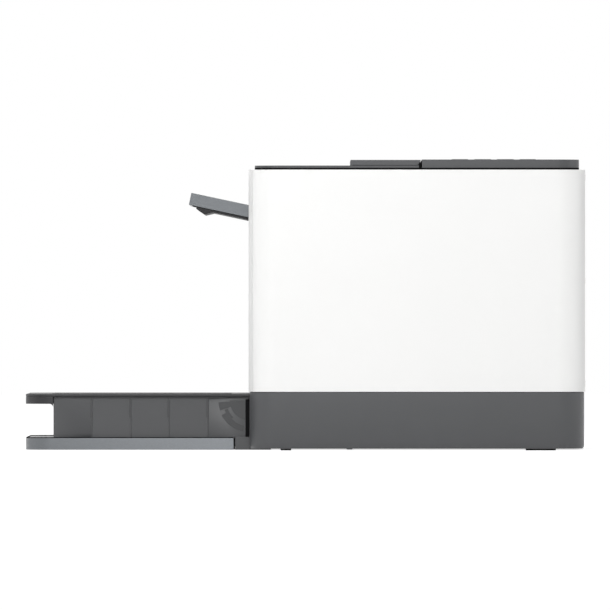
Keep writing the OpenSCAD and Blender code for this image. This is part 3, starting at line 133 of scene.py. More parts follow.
def length_property(name, description, millimetres):
    return bpy.props.FloatProperty(name=name, description=description, min=0.0,
                                   default=millimetres * MM, unit="LENGTH", subtype="DISTANCE")


class PrinterColours(bpy.types.PropertyGroup):
    covers: colour_property("Covers", "White moulded covers", "F3F3F2")
    base: colour_property("Base", "Dark grey base, lid and feeder", "4A4B4D")
    cassette: colour_property("Cassette", "Grey walls of the paper cassette", "3D3E40")
    deck: colour_property("Deck", "Nearly black output deck", "262628")
    silver: colour_property("Silver", "Silver paint of the panel and cassette front", "7D8185")
    black: colour_property("Black", "Black mouldings inside and under the panel", "1D1D1F")
    # Also darkens the boxes that paint shade over the tray's ribs
    trim: colour_property("Cassette trim", "Darker fittings of the cassette", "2E2F31")
    ink: colour_property("Ink", "Marks on the panel, scanner and cassette", "C9CCCF")
    blue: colour_property("Guides", "Blue-green handles that the user moves", "2F7480")


class PrinterSizes(bpy.types.PropertyGroup):
    cover_edge: length_property("Cover edge", "Rounding of the white covers' edges", 0.5)
    fine_edge: length_property("Fine edge", "Rounding of thin mouldings' edges", 0.25)
    grain: length_property("Grain", "Spacing of the spark-eroded grain", 0.9)
    camera_away: length_property("Camera distance", "From the right side to the camera", 20000)
    field: length_property("Field", "Width that the picture takes in at the right side", 619)


def colours():
    return bpy.context.scene.printer_colours


def sizes():
    return bpy.context.scene.printer_sizes


# Materials

def plug(tree, node, sockets=None, links=None):
    """Sets a node's socket values and links."""
    for key, value in (sockets or {}).items():
        node.inputs[key].default_value = value
    for key, source in (links or {}).items():
        tree.links.new(source, node.inputs[key])
    return node


def add(tree, kind, settings=None, sockets=None, links=None):
    """Adds a shader node with its settings, socket values and links."""
    node = tree.nodes.new(f"ShaderNode{kind}")
    for key, value in (settings or {}).items():
        setattr(node, key, value)
    return plug(tree, node, sockets, links)


# The makers below fill a material's tree: shader is its surface, and place is the output that
# holds the point on the piece, in metres

def moulded(tree, shader, place, colour, roughness, depth=0.05, coarse=1.0, specular=0.5,
            drift=0.03):
    """Injection-moulded ABS with spark-eroded grain: an even satin with soft, broken highlights.

    The real grain is about 0.2 mm; it is drawn at the size of the Grain setting, so that it shows.
    Broad, faint drifts of tone and gloss are those of flow in the mould and of handling."""
    tint = getattr(colours(), colour)[:3]
    spacing = sizes().grain * coarse
    grain = add(tree, "TexNoise", sockets={
        "Scale": 1 / spacing, "Detail": 3.0, "Roughness": 0.65}, links={"Vector": place})
    pits = add(tree, "TexVoronoi", {"feature": "SMOOTH_F1"}, {
        "Scale": 0.6 / spacing, "Smoothness": 0.8}, {"Vector": place})
    height = add(tree, "Math", {"operation": "ADD"}, links={
        0: grain.outputs["Fac"], 1: pits.outputs["Distance"]})
    bump = add(tree, "Bump", sockets={"Strength": 0.5, "Distance": depth * MM},
               links={"Height": height.outputs[0]})
    flow = add(tree, "TexNoise", sockets={
        "Scale": 1 / (90 * MM), "Detail": 4.0, "Roughness": 0.55}, links={"Vector": place})
    tone = add(tree, "MapRange", sockets={
        "From Min": 0.3, "From Max": 0.7, "To Min": 1 - drift, "To Max": 1 + drift},
        links={"Value": flow.outputs["Fac"]})
    toned = add(tree, "VectorMath", {"operation": "SCALE"}, {0: tint},
                {"Scale": tone.outputs["Result"]})
    gloss = add(tree, "MapRange", sockets={
        "From Min": 0.3, "From Max": 0.75, "To Min": roughness - 0.05, "To Max": roughness + 0.06},
        links={"Value": grain.outputs["Fac"]})
    plug(tree, shader, {"IOR": 1.53, "Specular IOR Level": specular}, {
        "Base Color": toned.outputs["Vector"], "Roughness": gloss.outputs["Result"],
        "Normal": bump.outputs["Normal"]})


def silver_paint(tree, shader, place, shade=1.0):
    """Silver lacquer sprayed on ABS: fine flakes that glint, under a thin clear coat.

    Real flakes are 0.02 mm; they are drawn 0.5 mm apart, so that they show. Towards the front
    the colour is painted darker, a painted shade; a shade below 1 darkens all of it, for a copy
    in painted shade."""
    front_y, even_y = -284 * MM, -90 * MM
    tint = [shade * channel for channel in colours().silver[:3]]
    flakes = add(tree, "TexVoronoi", sockets={"Scale": 1 / (0.5 * MM)}, links={"Vector": place})
    glint = add(tree, "SeparateColor", links={"Color": flakes.outputs["Color"]})
    tone = add(tree, "MapRange", sockets={"To Min": 0.93, "To Max": 1.07},
               links={"Value": glint.outputs["Red"]})
    along = add(tree, "SeparateXYZ", links={"Vector": place})
    # Painted shade: the lacquer's colour darkens towards the front
    painted_front_shade = add(tree, "MapRange", sockets={
        "From Min": front_y, "From Max": even_y, "To Min": 0.62, "To Max": 1.0},
        links={"Value": along.outputs["Y"]})
    both = add(tree, "Math", {"operation": "MULTIPLY"}, links={
        0: tone.outputs["Result"], 1: painted_front_shade.outputs["Result"]})
    toned = add(tree, "VectorMath", {"operation": "SCALE"}, {0: tint},
                {"Scale": both.outputs[0]})
    peel = add(tree, "TexNoise", sockets={"Scale": 1 / (2.5 * MM), "Detail": 2.0},
               links={"Vector": place})
    bump = add(tree, "Bump", sockets={"Strength": 0.2, "Distance": 0.03 * MM},
               links={"Height": peel.outputs["Fac"]})
    plug(tree, shader, {
        "Metallic": 0.35, "Roughness": 0.36, "Coat Weight": 0.25, "Coat Roughness": 0.15}, {
        "Base Color": toned.outputs["Vector"], "Normal": bump.outputs["Normal"]})


def acrylic_window(tree, shader, place):
    """Black-backed acrylic sheet: deep gloss with faint smears from fingers."""
    smears = add(tree, "TexNoise", sockets={
        "Scale": 1 / (14 * MM), "Detail": 5.0, "Roughness": 0.6, "Distortion": 1.2},
        links={"Vector": place})
    gloss = add(tree, "MapRange", sockets={
        "From Min": 0.45, "From Max": 0.75, "To Min": 0.04, "To Max": 0.16},
        links={"Value": smears.outputs["Fac"]})
    tone = add(tree, "Mix", {"data_type": "RGBA"}, {
        6: linear("0B0C0E"), 7: linear("131417")}, {0: smears.outputs["Fac"]})
    plug(tree, shader, {"IOR": 1.49}, {
        "Roughness": gloss.outputs["Result"], "Base Color": tone.outputs[2]})


def unlit_screen(tree, shader, place):
    """Liquid-crystal screen switched off: a grey sheen with a fine grid of cells.

    Real cells are 0.1 mm; they are drawn 0.6 mm apart, so that they show."""
    cells = add(tree, "TexChecker", sockets={
        "Scale": 1 / (0.6 * MM), "Color1": linear("1B1E22"), "Color2": linear("202429")},
        links={"Vector": place})
    plug(tree, shader, {"Roughness": 0.12, "IOR": 1.5}, {"Base Color": cells.outputs["Color"]})


def float_glass(tree, shader, place, code, roughness=0.0):
    """Float glass: clear, with the faint green of iron at its edges."""
    wave = add(tree, "TexNoise", sockets={"Scale": 1 / (60 * MM), "Detail": 1.0},
               links={"Vector": place})
    bump = add(tree, "Bump", sockets={"Strength": 0.05, "Distance": 0.05 * MM},
               links={"Height": wave.outputs["Fac"]})
    dust = add(tree, "TexNoise", sockets={"Scale": 1 / (3 * MM), "Detail": 4.0},
               links={"Vector": place})
    haze = add(tree, "MapRange", sockets={
        "From Min": 0.5, "From Max": 0.9, "To Min": roughness, "To Max": roughness + 0.08},
        links={"Value": dust.outputs["Fac"]})
    plug(tree, shader, {"Base Color": linear(code), "IOR": 1.52, "Transmission Weight": 0.92}, {
        "Roughness": haze.outputs["Result"], "Normal": bump.outputs["Normal"]})


def zinc_steel(tree, shader, place, code="B4B7BA", roughness=0.38):
    """Rolled steel with a zinc coat: pale spangles 7 mm wide and fine rolling lines.

    Real lines are 0.1 mm apart; they are drawn 0.6 mm apart, so that they show."""
    spangle = add(tree, "TexVoronoi", sockets={"Scale": 1 / (7 * MM)}, links={"Vector": place})
    facet = add(tree, "SeparateColor", links={"Color": spangle.outputs["Color"]})
    stretch = add(tree, "Mapping", sockets={"Scale": (1.0, 0.04, 1.0)}, links={"Vector": place})
    lines = add(tree, "TexNoise", sockets={"Scale": 1 / (0.6 * MM), "Detail": 2.0},
                links={"Vector": stretch.outputs["Vector"]})
    tone = add(tree, "MapRange", sockets={"To Min": 0.86, "To Max": 1.08},
               links={"Value": facet.outputs["Red"]})
    toned = add(tree, "VectorMath", {"operation": "SCALE"}, {0: linear(code)[:3]},
                {"Scale": tone.outputs["Result"]})
    gloss = add(tree, "MapRange", sockets={"To Min": roughness - 0.08, "To Max": roughness + 0.1},
                links={"Value": lines.outputs["Fac"]})
    bump = add(tree, "Bump", sockets={"Strength": 0.25, "Distance": 0.02 * MM},
               links={"Height": lines.outputs["Fac"]})
    plug(tree, shader, {"Metallic": 1.0}, {
        "Base Color": toned.outputs["Vector"], "Roughness": gloss.outputs["Result"],
        "Normal": bump.outputs["Normal"]})


def turned_steel(tree, shader, place, code="C3C6C9"):
    """Ground and turned steel bar: bright, with rings from the tool.

    Real rings are 0.1 mm apart; they are drawn 0.8 mm apart, so that they show."""
    rings = add(tree, "TexWave", {"wave_type": "BANDS", "bands_direction": "X"},
                {"Scale": 0.05 / (0.8 * MM), "Distortion": 0.6, "Detail": 2.0}, {"Vector": place})
    gloss = add(tree, "MapRange", sockets={"To Min": 0.14, "To Max": 0.3},
                links={"Value": rings.outputs["Fac"]})
    bump = add(tree, "Bump", sockets={"Strength": 0.2, "Distance": 0.01 * MM},
               links={"Height": rings.outputs["Fac"]})
    plug(tree, shader, {"Base Color": linear(code), "Metallic": 1.0}, {
        "Roughness": gloss.outputs["Result"], "Normal": bump.outputs["Normal"]})


def rubber(tree, shader, place, code):
    """Moulded or ground rubber: matte and slightly mottled, with a soft bloom at its edges."""
    mottle = add(tree, "TexNoise", sockets={
        "Scale": 1 / (1.5 * MM), "Detail": 5.0, "Roughness": 0.7}, links={"Vector": place})
    tone = add(tree, "MapRange", sockets={"To Min": 0.8, "To Max": 1.2},
               links={"Value": mottle.outputs["Fac"]})
    toned = add(tree, "VectorMath", {"operation": "SCALE"}, {0: linear(code)[:3]},
                {"Scale": tone.outputs["Result"]})
    bump = add(tree, "Bump", sockets={"Strength": 0.4, "Distance": 0.06 * MM},
               links={"Height": mottle.outputs["Fac"]})
    plug(tree, shader, {
        "Roughness": 0.82, "IOR": 1.52, "Specular IOR Level": 0.35, "Sheen Weight": 0.08}, {
        "Base Color": toned.outputs["Vector"], "Normal": bump.outputs["Normal"]})


def painted_shadow_black(tree, shader, place):
    """Matte black for strips that paint the shadow in gaps: no shine, with short fibres laid at
    random.

    Real fibres are 0.03 mm thick; they are drawn 0.4 mm apart, so that they show."""
    fibres = add(tree, "TexNoise", sockets={
        "Scale": 1 / (0.4 * MM), "Detail": 6.0, "Roughness": 0.8, "Distortion": 0.6},
        links={"Vector": place})
    tone = add(tree, "Mix", {"data_type": "RGBA"}, {
        6: linear("0A0A0B"), 7: linear("1B1B1D")}, {0: fibres.outputs["Fac"]})
    bump = add(tree, "Bump", sockets={"Strength": 0.6, "Distance": 0.1 * MM},
               links={"Height": fibres.outputs["Fac"]})
    plug(tree, shader, {"Roughness": 0.95, "Specular IOR Level": 0.1}, {
        "Base Color": tone.outputs[2], "Normal": bump.outputs["Normal"]})


def open_cell_foam(tree, shader, place):
    """White foam under a vinyl skin: soft, matte, with open cells about 1 mm wide."""
    cells = add(tree, "TexVoronoi", {"feature": "DISTANCE_TO_EDGE"},
                {"Scale": 1 / (1.1 * MM)}, {"Vector": place})
    # Painted shade: the tone is darker in the grooves between the cells
    tone = add(tree, "MapRange", sockets={"From Max": 0.3, "To Min": 0.82, "To Max": 1.0},
               links={"Value": cells.outputs["Distance"]})
    toned = add(tree, "VectorMath", {"operation": "SCALE"}, {0: linear("F1F1EE")[:3]},
                {"Scale": tone.outputs["Result"]})
    bump = add(tree, "Bump", sockets={"Strength": 0.5, "Distance": 0.15 * MM},
               links={"Height": cells.outputs["Distance"]})
    plug(tree, shader, {"Roughness": 0.9, "Sheen Weight": 0.1}, {
        "Base Color": toned.outputs["Vector"], "Normal": bump.outputs["Normal"]})


def coated_roller(tree, shader, place, code, roughness, coat):
    """Aluminium tube with a baked or dipped coat: an even colour under a smooth, wet film."""
    scuffs = add(tree, "TexWave", {"wave_type": "BANDS", "bands_direction": "X"},
                 {"Scale": 0.05 / (3 * MM), "Distortion": 3.0, "Detail": 3.0}, {"Vector": place})
    gloss = add(tree, "MapRange", sockets={
        "To Min": roughness, "To Max": roughness + 0.08}, links={"Value": scuffs.outputs["Fac"]})
    tone = add(tree, "MapRange", sockets={"To Min": 0.95, "To Max": 1.05},
               links={"Value": scuffs.outputs["Fac"]})
    toned = add(tree, "VectorMath", {"operation": "SCALE"}, {0: linear(code)[:3]},
                {"Scale": tone.outputs["Result"]})
    plug(tree, shader, {"Coat Weight": coat, "Coat Roughness": 0.05}, {
        "Base Color": toned.outputs["Vector"], "Roughness": gloss.outputs["Result"]})


def solder_mask(tree, shader, place):
    """Green solder mask over copper tracks: glossy, with tracks a shade lighter than the board."""
    upright = add(tree, "Mapping", sockets={"Rotation": (0.0, math.radians(90), 0.0)},
                  links={"Vector": place})
    tracks = add(tree, "TexBrick", {"offset": 0.37}, {
        "Color1": linear("1D5B3A"), "Color2": linear("226844"), "Mortar": linear("2F7F56"),
        "Scale": 1 / (22 * MM), "Mortar Size": 0.03, "Brick Width": 0.7, "Row Height": 0.22},
        {"Vector": upright.outputs["Vector"]})
    bump = add(tree, "Bump", sockets={"Strength": 0.4, "Distance": 0.05 * MM},
               links={"Height": tracks.outputs["Fac"]})
    plug(tree, shader, {"Roughness": 0.28}, {
        "Base Color": tracks.outputs["Color"], "Normal": bump.outputs["Normal"]})


def signal_lens(tree, shader, place):
    """Milky polycarbonate over a lamp: lit evenly from inside."""
    cloud = add(tree, "TexNoise", sockets={"Scale": 1 / (2 * MM)}, links={"Vector": place})
    tone = add(tree, "Mix", {"data_type": "RGBA"}, {
        6: linear("D9F0FF"), 7: linear("FFFFFF")}, {0: cloud.outputs["Fac"]})
    plug(tree, shader, {
        "Roughness": 0.3, "Emission Color": linear("CFE8FF"), "Emission Strength": 0.12}, {
        "Base Color": tone.outputs[2]})


MAKERS = {
    "White moulded ABS": partial(moulded, colour="covers", roughness=0.42, depth=0.03, drift=0.006),
    "Grey moulded ABS": partial(moulded, colour="base", roughness=0.44, specular=0.42),
    "Cassette polystyrene": partial(moulded, colour="cassette", roughness=0.46, depth=0.04),
    "Black deck ABS": partial(moulded, colour="deck", roughness=0.42, specular=0.35),
    "Black inner ABS": partial(moulded, colour="black", roughness=0.5, coarse=1.5, specular=0.25),
    # Real dark trim, and also the dark of the boxes that paint shade over the tray's ribs
    "Cassette trim ABS": partial(moulded, colour="trim", roughness=0.4, depth=0.03),
    "Printed ink": partial(moulded, colour="ink", roughness=0.55, depth=0.01),
    "Blue acetal": partial(moulded, colour="blue", roughness=0.35, depth=0.02),
    "Silver lacquer": silver_paint,
    # The panel's copy of the silver lacquer, darkened all over as painted shade
    "Dark silver lacquer": partial(silver_paint, shade=0.66),
    "Acrylic window": acrylic_window,
    "Unlit screen": unlit_screen,
    "Float glass": partial(float_glass, code="EAF3EF"),
    "Quartz tube": partial(float_glass, code="F4F2EA", roughness=0.05),
    "Zinc-plated steel": zinc_steel,
    "Nickel-plated screw steel": partial(zinc_steel, code="C9C8C4", roughness=0.28),
    "Turned steel": turned_steel,
    "Moulded foot rubber": partial(rubber, code="2A2A2B"),
    "Ground roller rubber": partial(rubber, code="3A3A3B"),
    "Silicone rubber": partial(rubber, code="A3502F"),
    # Black of the strips that paint shadow lines in gaps
    "Black felt": painted_shadow_black,
    "Open-cell foam": open_cell_foam,
    "Photoconductor coating": partial(coated_roller, code="1F6E63", roughness=0.12, coat=0.8),
    "Non-stick coating": partial(coated_roller, code="6B2E22", roughness=0.3, coat=0.3),
    "Bronze mirror polish": partial(turned_steel, code="D7D3CC"),
    "Gold-plated contacts": partial(turned_steel, code="D8B765"),
    "Solder mask": solder_mask,
    "Signal lens": signal_lens,
}


def background_rays(tree):
    """1 for rays from the camera, in reflections and through glass; 0 for the rest."""
    path = add(tree, "LightPath")
    seen = path.outputs["Is Camera Ray"]
    for kind in ("Is Glossy Ray", "Is Transmission Ray"):
        seen = add(tree, "Math", {"operation": "MAXIMUM"}, links={
            0: seen, 1: path.outputs[kind]}).outputs[0]
    return seen


def finish_of(name):
    """The material of that name, made the first time it is asked for."""
    material = bpy.data.materials.get(name)
    if not material:
        material = bpy.data.materials.new(name)
        material.use_nodes = True
        tree = material.node_tree
        place = add(tree, "TexCoord").outputs["Object"]
        MAKERS[name](tree, tree.nodes["Principled BSDF"], place)
    return material


# Shapes

def block(bm, low, high, corner=0.0, segments=6):
    """Adds a box between two corners, its upright edges rounded."""
    low, high = Vector(low), Vector(high)
    made = bmesh.ops.create_cube(bm, size=1.0)["verts"]
    bmesh.ops.scale(bm, vec=high - low, verts=made)
    bmesh.ops.translate(bm, vec=(low + high) / 2, verts=made)
    if corner > 0:
        edges = {edge for vert in made for edge in vert.link_edges}
        upright = [e for e in edges if abs(e.verts[0].co.z - e.verts[1].co.z) > (high - low).z / 2]
        bmesh.ops.bevel(bm, geom=upright, offset=corner, segments=segments, profile=0.5,
                        affect="EDGES", material=-1)


def stub(bm, x, y, low, high, foot_radius, top_radius):
    """Adds an upright round stub that narrows to its top."""
    bmesh.ops.create_cone(bm, cap_ends=True, segments=16, radius1=foot_radius, radius2=top_radius,
                          depth=high - low, matrix=Matrix.Translation((x, y, (low + high) / 2)))


def spun(bm, axis, hub, section, angles, steps):
    """Spins a section, drawn about the hub, from one angle to another, in degrees."""
    hub = Vector(hub)
    turn = Matrix.Rotation(math.radians(angles[0]), 3, axis)
    face = bm.faces.new([bm.verts.new(hub + turn @ Vector(point)) for point in section])
    sweep = math.radians(angles[1] - angles[0])
    bmesh.ops.spin(bm, geom=[face, *face.edges, *face.verts], cent=hub,
                   axis=[float(name == axis) for name in "XYZ"], angle=sweep, steps=steps,
                   use_merge=abs(sweep) > math.radians(359))


def sector(bm, x, centre, radii, angles, thick):
    """Adds a flat arc that stands on a wall at x.

    centre is in Y and Z, radii are inner and outer, angles are from +Y towards +Z."""
    inner, outer = radii
    spun(bm, "X", (x, *centre), [(0, inner, 0), (thick, inner, 0), (thick, outer, 0),
                                 (0, outer, 0)], angles, steps=24)


def ring(bm, centre, radii, angles, low, high):
    """Adds a flat arc that stands on a floor: radii are inner and outer, angles from +X."""
    inner, outer = radii
    spun(bm, "Z", (*centre, 0), [(inner, 0, low), (outer, 0, low), (outer, 0, high),
                                 (inner, 0, high)], angles, steps=32)


def stroke(bm, points, width, low, high):
    """Adds a raised line through points in X and Y."""
    for (x0, y0), (x1, y1) in zip(points, points[1:]):
        length = math.hypot(x1 - x0, y1 - y0)
        place = (Matrix.Translation(((x0 + x1) / 2, (y0 + y1) / 2, (low + high) / 2))
                 @ Matrix.Rotation(math.atan2(y1 - y0, x1 - x0), 4, "Z")
                 @ Matrix.Diagonal((length + width, width, high - low, 1)))
        bmesh.ops.create_cube(bm, size=1.0, matrix=place)


def size_marks(bm, first, pitch, count, each, way, reaches, width, low, high):
    """Adds a row of raised marks: pitch leads from one to the next, and way along each.

    Of each so many, the first is a long one; reaches are those of the long and the short."""
    for step in range(count):
        foot = Vector(first) + step * Vector(pitch)
        reach = reaches[0] if step % each == 0 else reaches[1]
        stroke(bm, [foot, foot + reach * Vector(way)], width, low, high)


def cut(bm, point, normal, clear=False):
    """Cuts through the whole shape along a plane, and clears what lies beyond it if asked."""
    bmesh.ops.bisect_plane(bm, geom=[*bm.verts, *bm.edges, *bm.faces], dist=0.0001,
                           plane_co=point, plane_no=normal, clear_outer=clear)


def pushed(bm, face, way):
    """Extrudes a face along a way."""
    grown = bmesh.ops.extrude_face_region(bm, geom=[face])["geom"]
    bmesh.ops.translate(bm, vec=way, verts=[g for g in grown if isinstance(g, bmesh.types.BMVert)])


def walled(bm, thickness, rear=True):
    """Leaves only the upright faces of a shape, as a thin wall, with or without the rear one."""
    spare = [f for f in bm.faces if abs(f.normal.z) > FACING
             or (f.normal.y > FACING and not rear)]
    bmesh.ops.delete(bm, geom=spare, context="FACES")
    bmesh.ops.solidify(bm, geom=bm.faces[:], thickness=thickness)


def cross_screw(bm, place, radius, rise):
    """Adds a screw head with a cross recess; place turns its axis from +Z to where it faces."""
    start = len(bm.verts)
    arm, half = 0.62 * radius, 0.14 * radius
    cross = [Matrix.Rotation(math.radians(90 * turn), 2) @ Vector(point) for turn in range(4)
             for point in ((arm, -half), (arm, half), (half, half))]
    around = [Matrix.Rotation(math.tau * i / 32, 2) @ Vector((1, 0)) for i in range(32)]

    def loop(outline, z):
        verts = [bm.verts.new((p.x, p.y, z)) for p in outline]
        return [bm.edges.new((verts[i - 1], verts[i])) for i in range(len(verts))]

    rim = loop([p * radius for p in around], 0.0)
    crown = loop([p * (radius - rise * 0.7) for p in around], rise)
    mouth = loop(cross, rise)
    floor = loop([p * 0.7 for p in cross], 0.1 * rise)
    bmesh.ops.bridge_loops(bm, edges=rim + crown)
    bmesh.ops.triangle_fill(bm, edges=crown + mouth, use_beauty=True, use_dissolve=False)
    bmesh.ops.bridge_loops(bm, edges=mouth + floor)
    bm.faces.new([edge.verts[0] for edge in floor])
    bm.verts.ensure_lookup_table()
    bmesh.ops.transform(bm, matrix=place, verts=bm.verts[start:])


def rounded(piece, width):
    """Rounds a piece's sharp edges by a live bevel."""
    bevel = piece.modifiers.new("Moulded edges", "BEVEL")
    bevel.width = width
    bevel.segments = 2
    bevel.limit_method = "ANGLE"
    bevel.angle_limit = SHARP
    bevel.use_clamp_overlap = False
    bevel.harden_normals = True


def finish(bm, name, body, material, slot, edge=0.0, outward=True, stands_for=()):
    """Turns a shape drawn in millimetres into a piece that rides on a body."""
    bmesh.ops.scale(bm, vec=(MM, MM, MM), verts=bm.verts)
    if outward:
        bmesh.ops.recalc_face_normals(bm, faces=bm.faces)
    for face in bm.faces:
        face.smooth = True
    mesh = bpy.data.meshes.new(name)
    bm.to_mesh(mesh)
    bm.free()
    mesh.set_sharp_from_angle(angle=SHARP)
    mesh.materials.append(finish_of(material))
    piece = bpy.data.objects.new(name, mesh)
    bpy.context.scene.collection.objects.link(piece)
    if edge > 0:
        rounded(piece, edge)
    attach(piece, body)
    if stands_for:
        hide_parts(*stands_for)
    return piece


def softened(node, material, edge):
    """Replaces a node by its own shape with flat faces joined and moulded, round edges."""
    source = frame["nodes"][node]
    bm = bmesh.new()
    bm.from_mesh(source.data)
    bmesh.ops.remove_doubles(bm, verts=bm.verts, dist=MERGE)
    bmesh.ops.dissolve_limit(bm, angle_limit=FLAT, use_dissolve_boundaries=False,
                             verts=bm.verts, edges=bm.edges, delimit=set())
    bmesh.ops.scale(bm, vec=(1 / MM, 1 / MM, 1 / MM), verts=bm.verts)
    return finish(bm, f"{node}_moulding", source["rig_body"], material, node, edge,
                  outward=False, stands_for=[node])


def shafted(node, coat, axis):
    """Replaces a roller by its own shape, with its shaft in steel and its sleeves in the coat."""
    share = 0.55
    low, high = box_mm(node)
    centre = (low + high) / 2
    across = [i for i in range(3) if i != axis]
    limit = share * (high - low)[across[0]] / 2
    mesh = softened(node, coat, 0.15 * MM).data
    mesh.materials.append(finish_of("Turned steel"))
    for face in mesh.polygons:
        reach = max(math.hypot(*(mesh.vertices[v].co[i] / MM - centre[i] for i in across))
                    for v in face.vertices)
        if reach < limit:
            face.material_index = 1


def dress(finishes):
    """Gives nodes of the frame their finishes."""
    for material, nodes in finishes.items():
        for node in nodes:
            for slot in frame["nodes"][node].material_slots:
                slot.material = finish_of(material)


# Pieces made of several shapes

def tray_fittings(side, tag):
    """Fittings outside one wall of the tray: all are drawn on the right, and the left mirrored."""
    low, high = box_mm("cassette_tray")
    wall, top = high.x - 4.5, high.z - 2.8
    hub = pivot_mm("deck_lift").yz
    let_in = wall - 0.2

    def rim(bm):
        block(bm, (wall - 0.3, low.y + 0.3, top - 1.3), (wall + 0.7, hub.x - 22, top - 0.1))

    def hub_relief(bm):
        """Guard ring in two parts, the claw that joins it to the hinge hub, and the hub"""
        for radii, angles, thick in (
                ((26.5, 32.5), (208, 258), 0.55), ((17.5, 32), (184, 199), 0.6),
                ((24.0, 27.5), (201, 226), 0.5), ((3.0, 20.5), (181, 262), 0.65)):
            sector(bm, let_in, hub, radii, angles, thick)

    def rib_painted_shadows(bm):
        # Dark boxes over the upper half of each rib: painted shade where the rib's groove is in
        # shadow
        for y in (low.y + 38.6, low.y + 77.9, low.y + 116.8, low.y + 156.4):
            block(bm, (let_in, y - 0.9, low.z + 32.8), (wall + 0.75, y + 0.6, top - 1.4))

    def gap_painted_shadow(bm):
        """Black strip at the body's front: painted shadow in the gap between the tray's wall and
        the base
        """
        block(bm, (let_in, hub.x - 4.4, low.z + 12.5), (wall + 0.9, hub.x - 0.5, top - 2.5),
              corner=0.4)

    for draw, name, material in (
            (rim, "tray_rim", "Cassette polystyrene"),
            (hub_relief, "tray_hub_relief", "Cassette trim ABS"),
            (rib_painted_shadows, "tray_rib_clips", "Cassette trim ABS"),
            (gap_painted_shadow, "tray_felt", "Black felt")):
        bm = bmesh.new()
        draw(bm)
        if side < 0:
            bmesh.ops.scale(bm, vec=(-1, 1, 1), verts=bm.verts)
        finish(bm, f"{name}_{tag}", "cassette", material, "cassette_tray", edge=0.1 * MM)


def front_edge_seal():
    """Black strip along the silver front's upper edge, and strips behind its rear ends: painted
    shadow in the gaps above and behind the silver front.
    """
    low, high = box_mm("cassette_front")
    inset, strip_x, strip_half = 0.3, 2.4, 1.3
    bm = bmesh.new()
    block(bm, (low.x + inset, low.y + inset, high.z - 0.05),
          (high.x - inset, high.y + 40, high.z + 0.85), corner=27, segments=16)
    cut(bm, (0, high.y - 0.5, 0), (0, 1, 0), clear=True)
    walled(bm, 0.5)
    for x in (low.x + strip_x, high.x - strip_x):
        block(bm, (x - strip_half, high.y - SUNK, low.z + inset),
              (x + strip_half, high.y + 1.5, high.z - inset), corner=inset)
    finish(bm, "front_edge_seal", "cassette", "Black felt", "cassette_front")


def lip_fillets():
    """Fillets where the deck's hollow lip meets the tray's walls."""
    outer_x, radius, thick = box_mm("output_deck")[1].x - 6.5, 3.7, 1.8
    back, under = box_mm("cassette_tray")[0].y - 0.4, box_mm("deck_lip")[0].z
    outline = [(back, under)]
    for degrees in range(90, -1, -10):
        angle = math.radians(degrees)
        outline.append((back - radius + radius * math.cos(angle),
                        under - radius + radius * math.sin(angle)))
    bm = bmesh.new()
    for side in (-1, 1):
        face = bm.faces.new([bm.verts.new((side * outer_x, y, z)) for y, z in outline])
        pushed(bm, face, (side * thick, 0, 0))
    finish(bm, "lip_fillets", "deck", "Black deck ABS", "deck_lip")


# Studio

def bare_tree(holder):
    """The emptied node tree of a material or a world."""
    holder.use_nodes = True
    holder.node_tree.nodes.clear()
    return holder.node_tree


def studio_floor(scene):
    """Floor that the picture and reflections see pale, and on which the lamps draw a shadow."""
    bm = bmesh.new()
    bmesh.ops.create_grid(bm, x_segments=2, y_segments=2, size=12.0)
    mesh = bpy.data.meshes.new("floor")
    bm.to_mesh(mesh)
    bm.free()
    material = bpy.data.materials.new("Pale studio floor")
    tree = bare_tree(material)
    glow = add(tree, "Math", {"operation": "MULTIPLY"}, {1: 0.72}, {0: background_rays(tree)})
    paint = add(tree, "BsdfDiffuse", sockets={"Color": linear("E8E8E8")})
    lift = add(tree, "Emission", links={"Strength": glow.outputs[0]})
    both = add(tree, "AddShader", links={0: paint.outputs[0], 1: lift.outputs[0]})
    add(tree, "OutputMaterial", links={"Surface": both.outputs[0]})
    mesh.materials.append(material)
    floor = bpy.data.objects.new("floor", mesh)
    scene.collection.objects.link(floor)
    floor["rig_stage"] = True


def studio_world(scene):
    """World that is white where it is seen, and a dim fill elsewhere."""
    scene.world = bpy.data.worlds.new("Pale studio")
    tree = bare_tree(scene.world)
    level = add(tree, "MapRange", sockets={"To Min": 0.38, "To Max": 1.0},
                links={"Value": background_rays(tree)})
    sky = add(tree, "Background", sockets={"Color": linear("FFFFFF")},
              links={"Strength": level.outputs["Result"]})
    add(tree, "OutputWorld", links={"Surface": sky.outputs[0]})


def placed(scene, name, data, spot, turn):
    """Puts a lamp or the camera in the scene."""
    holder = bpy.data.objects.new(name, data)
    scene.collection.objects.link(holder)
    holder.location = spot
    holder.rotation_euler = turn
    return holder


# Operators

class PRINTER_OT_covers(bpy.types.Operator):
    """White covers, front bezel and doors, with the soft edges of mouldings"""
    bl_idname = "printer.covers"
    bl_label = "Covers and doors"

    def execute(self, context):
        edge = sizes().cover_edge
        for node in ("side_covers", "rear_cover", "front_bezel", "front_door", "rear_door"):
            softened(node, "White moulded ABS", edge)
        return {"FINISHED"}


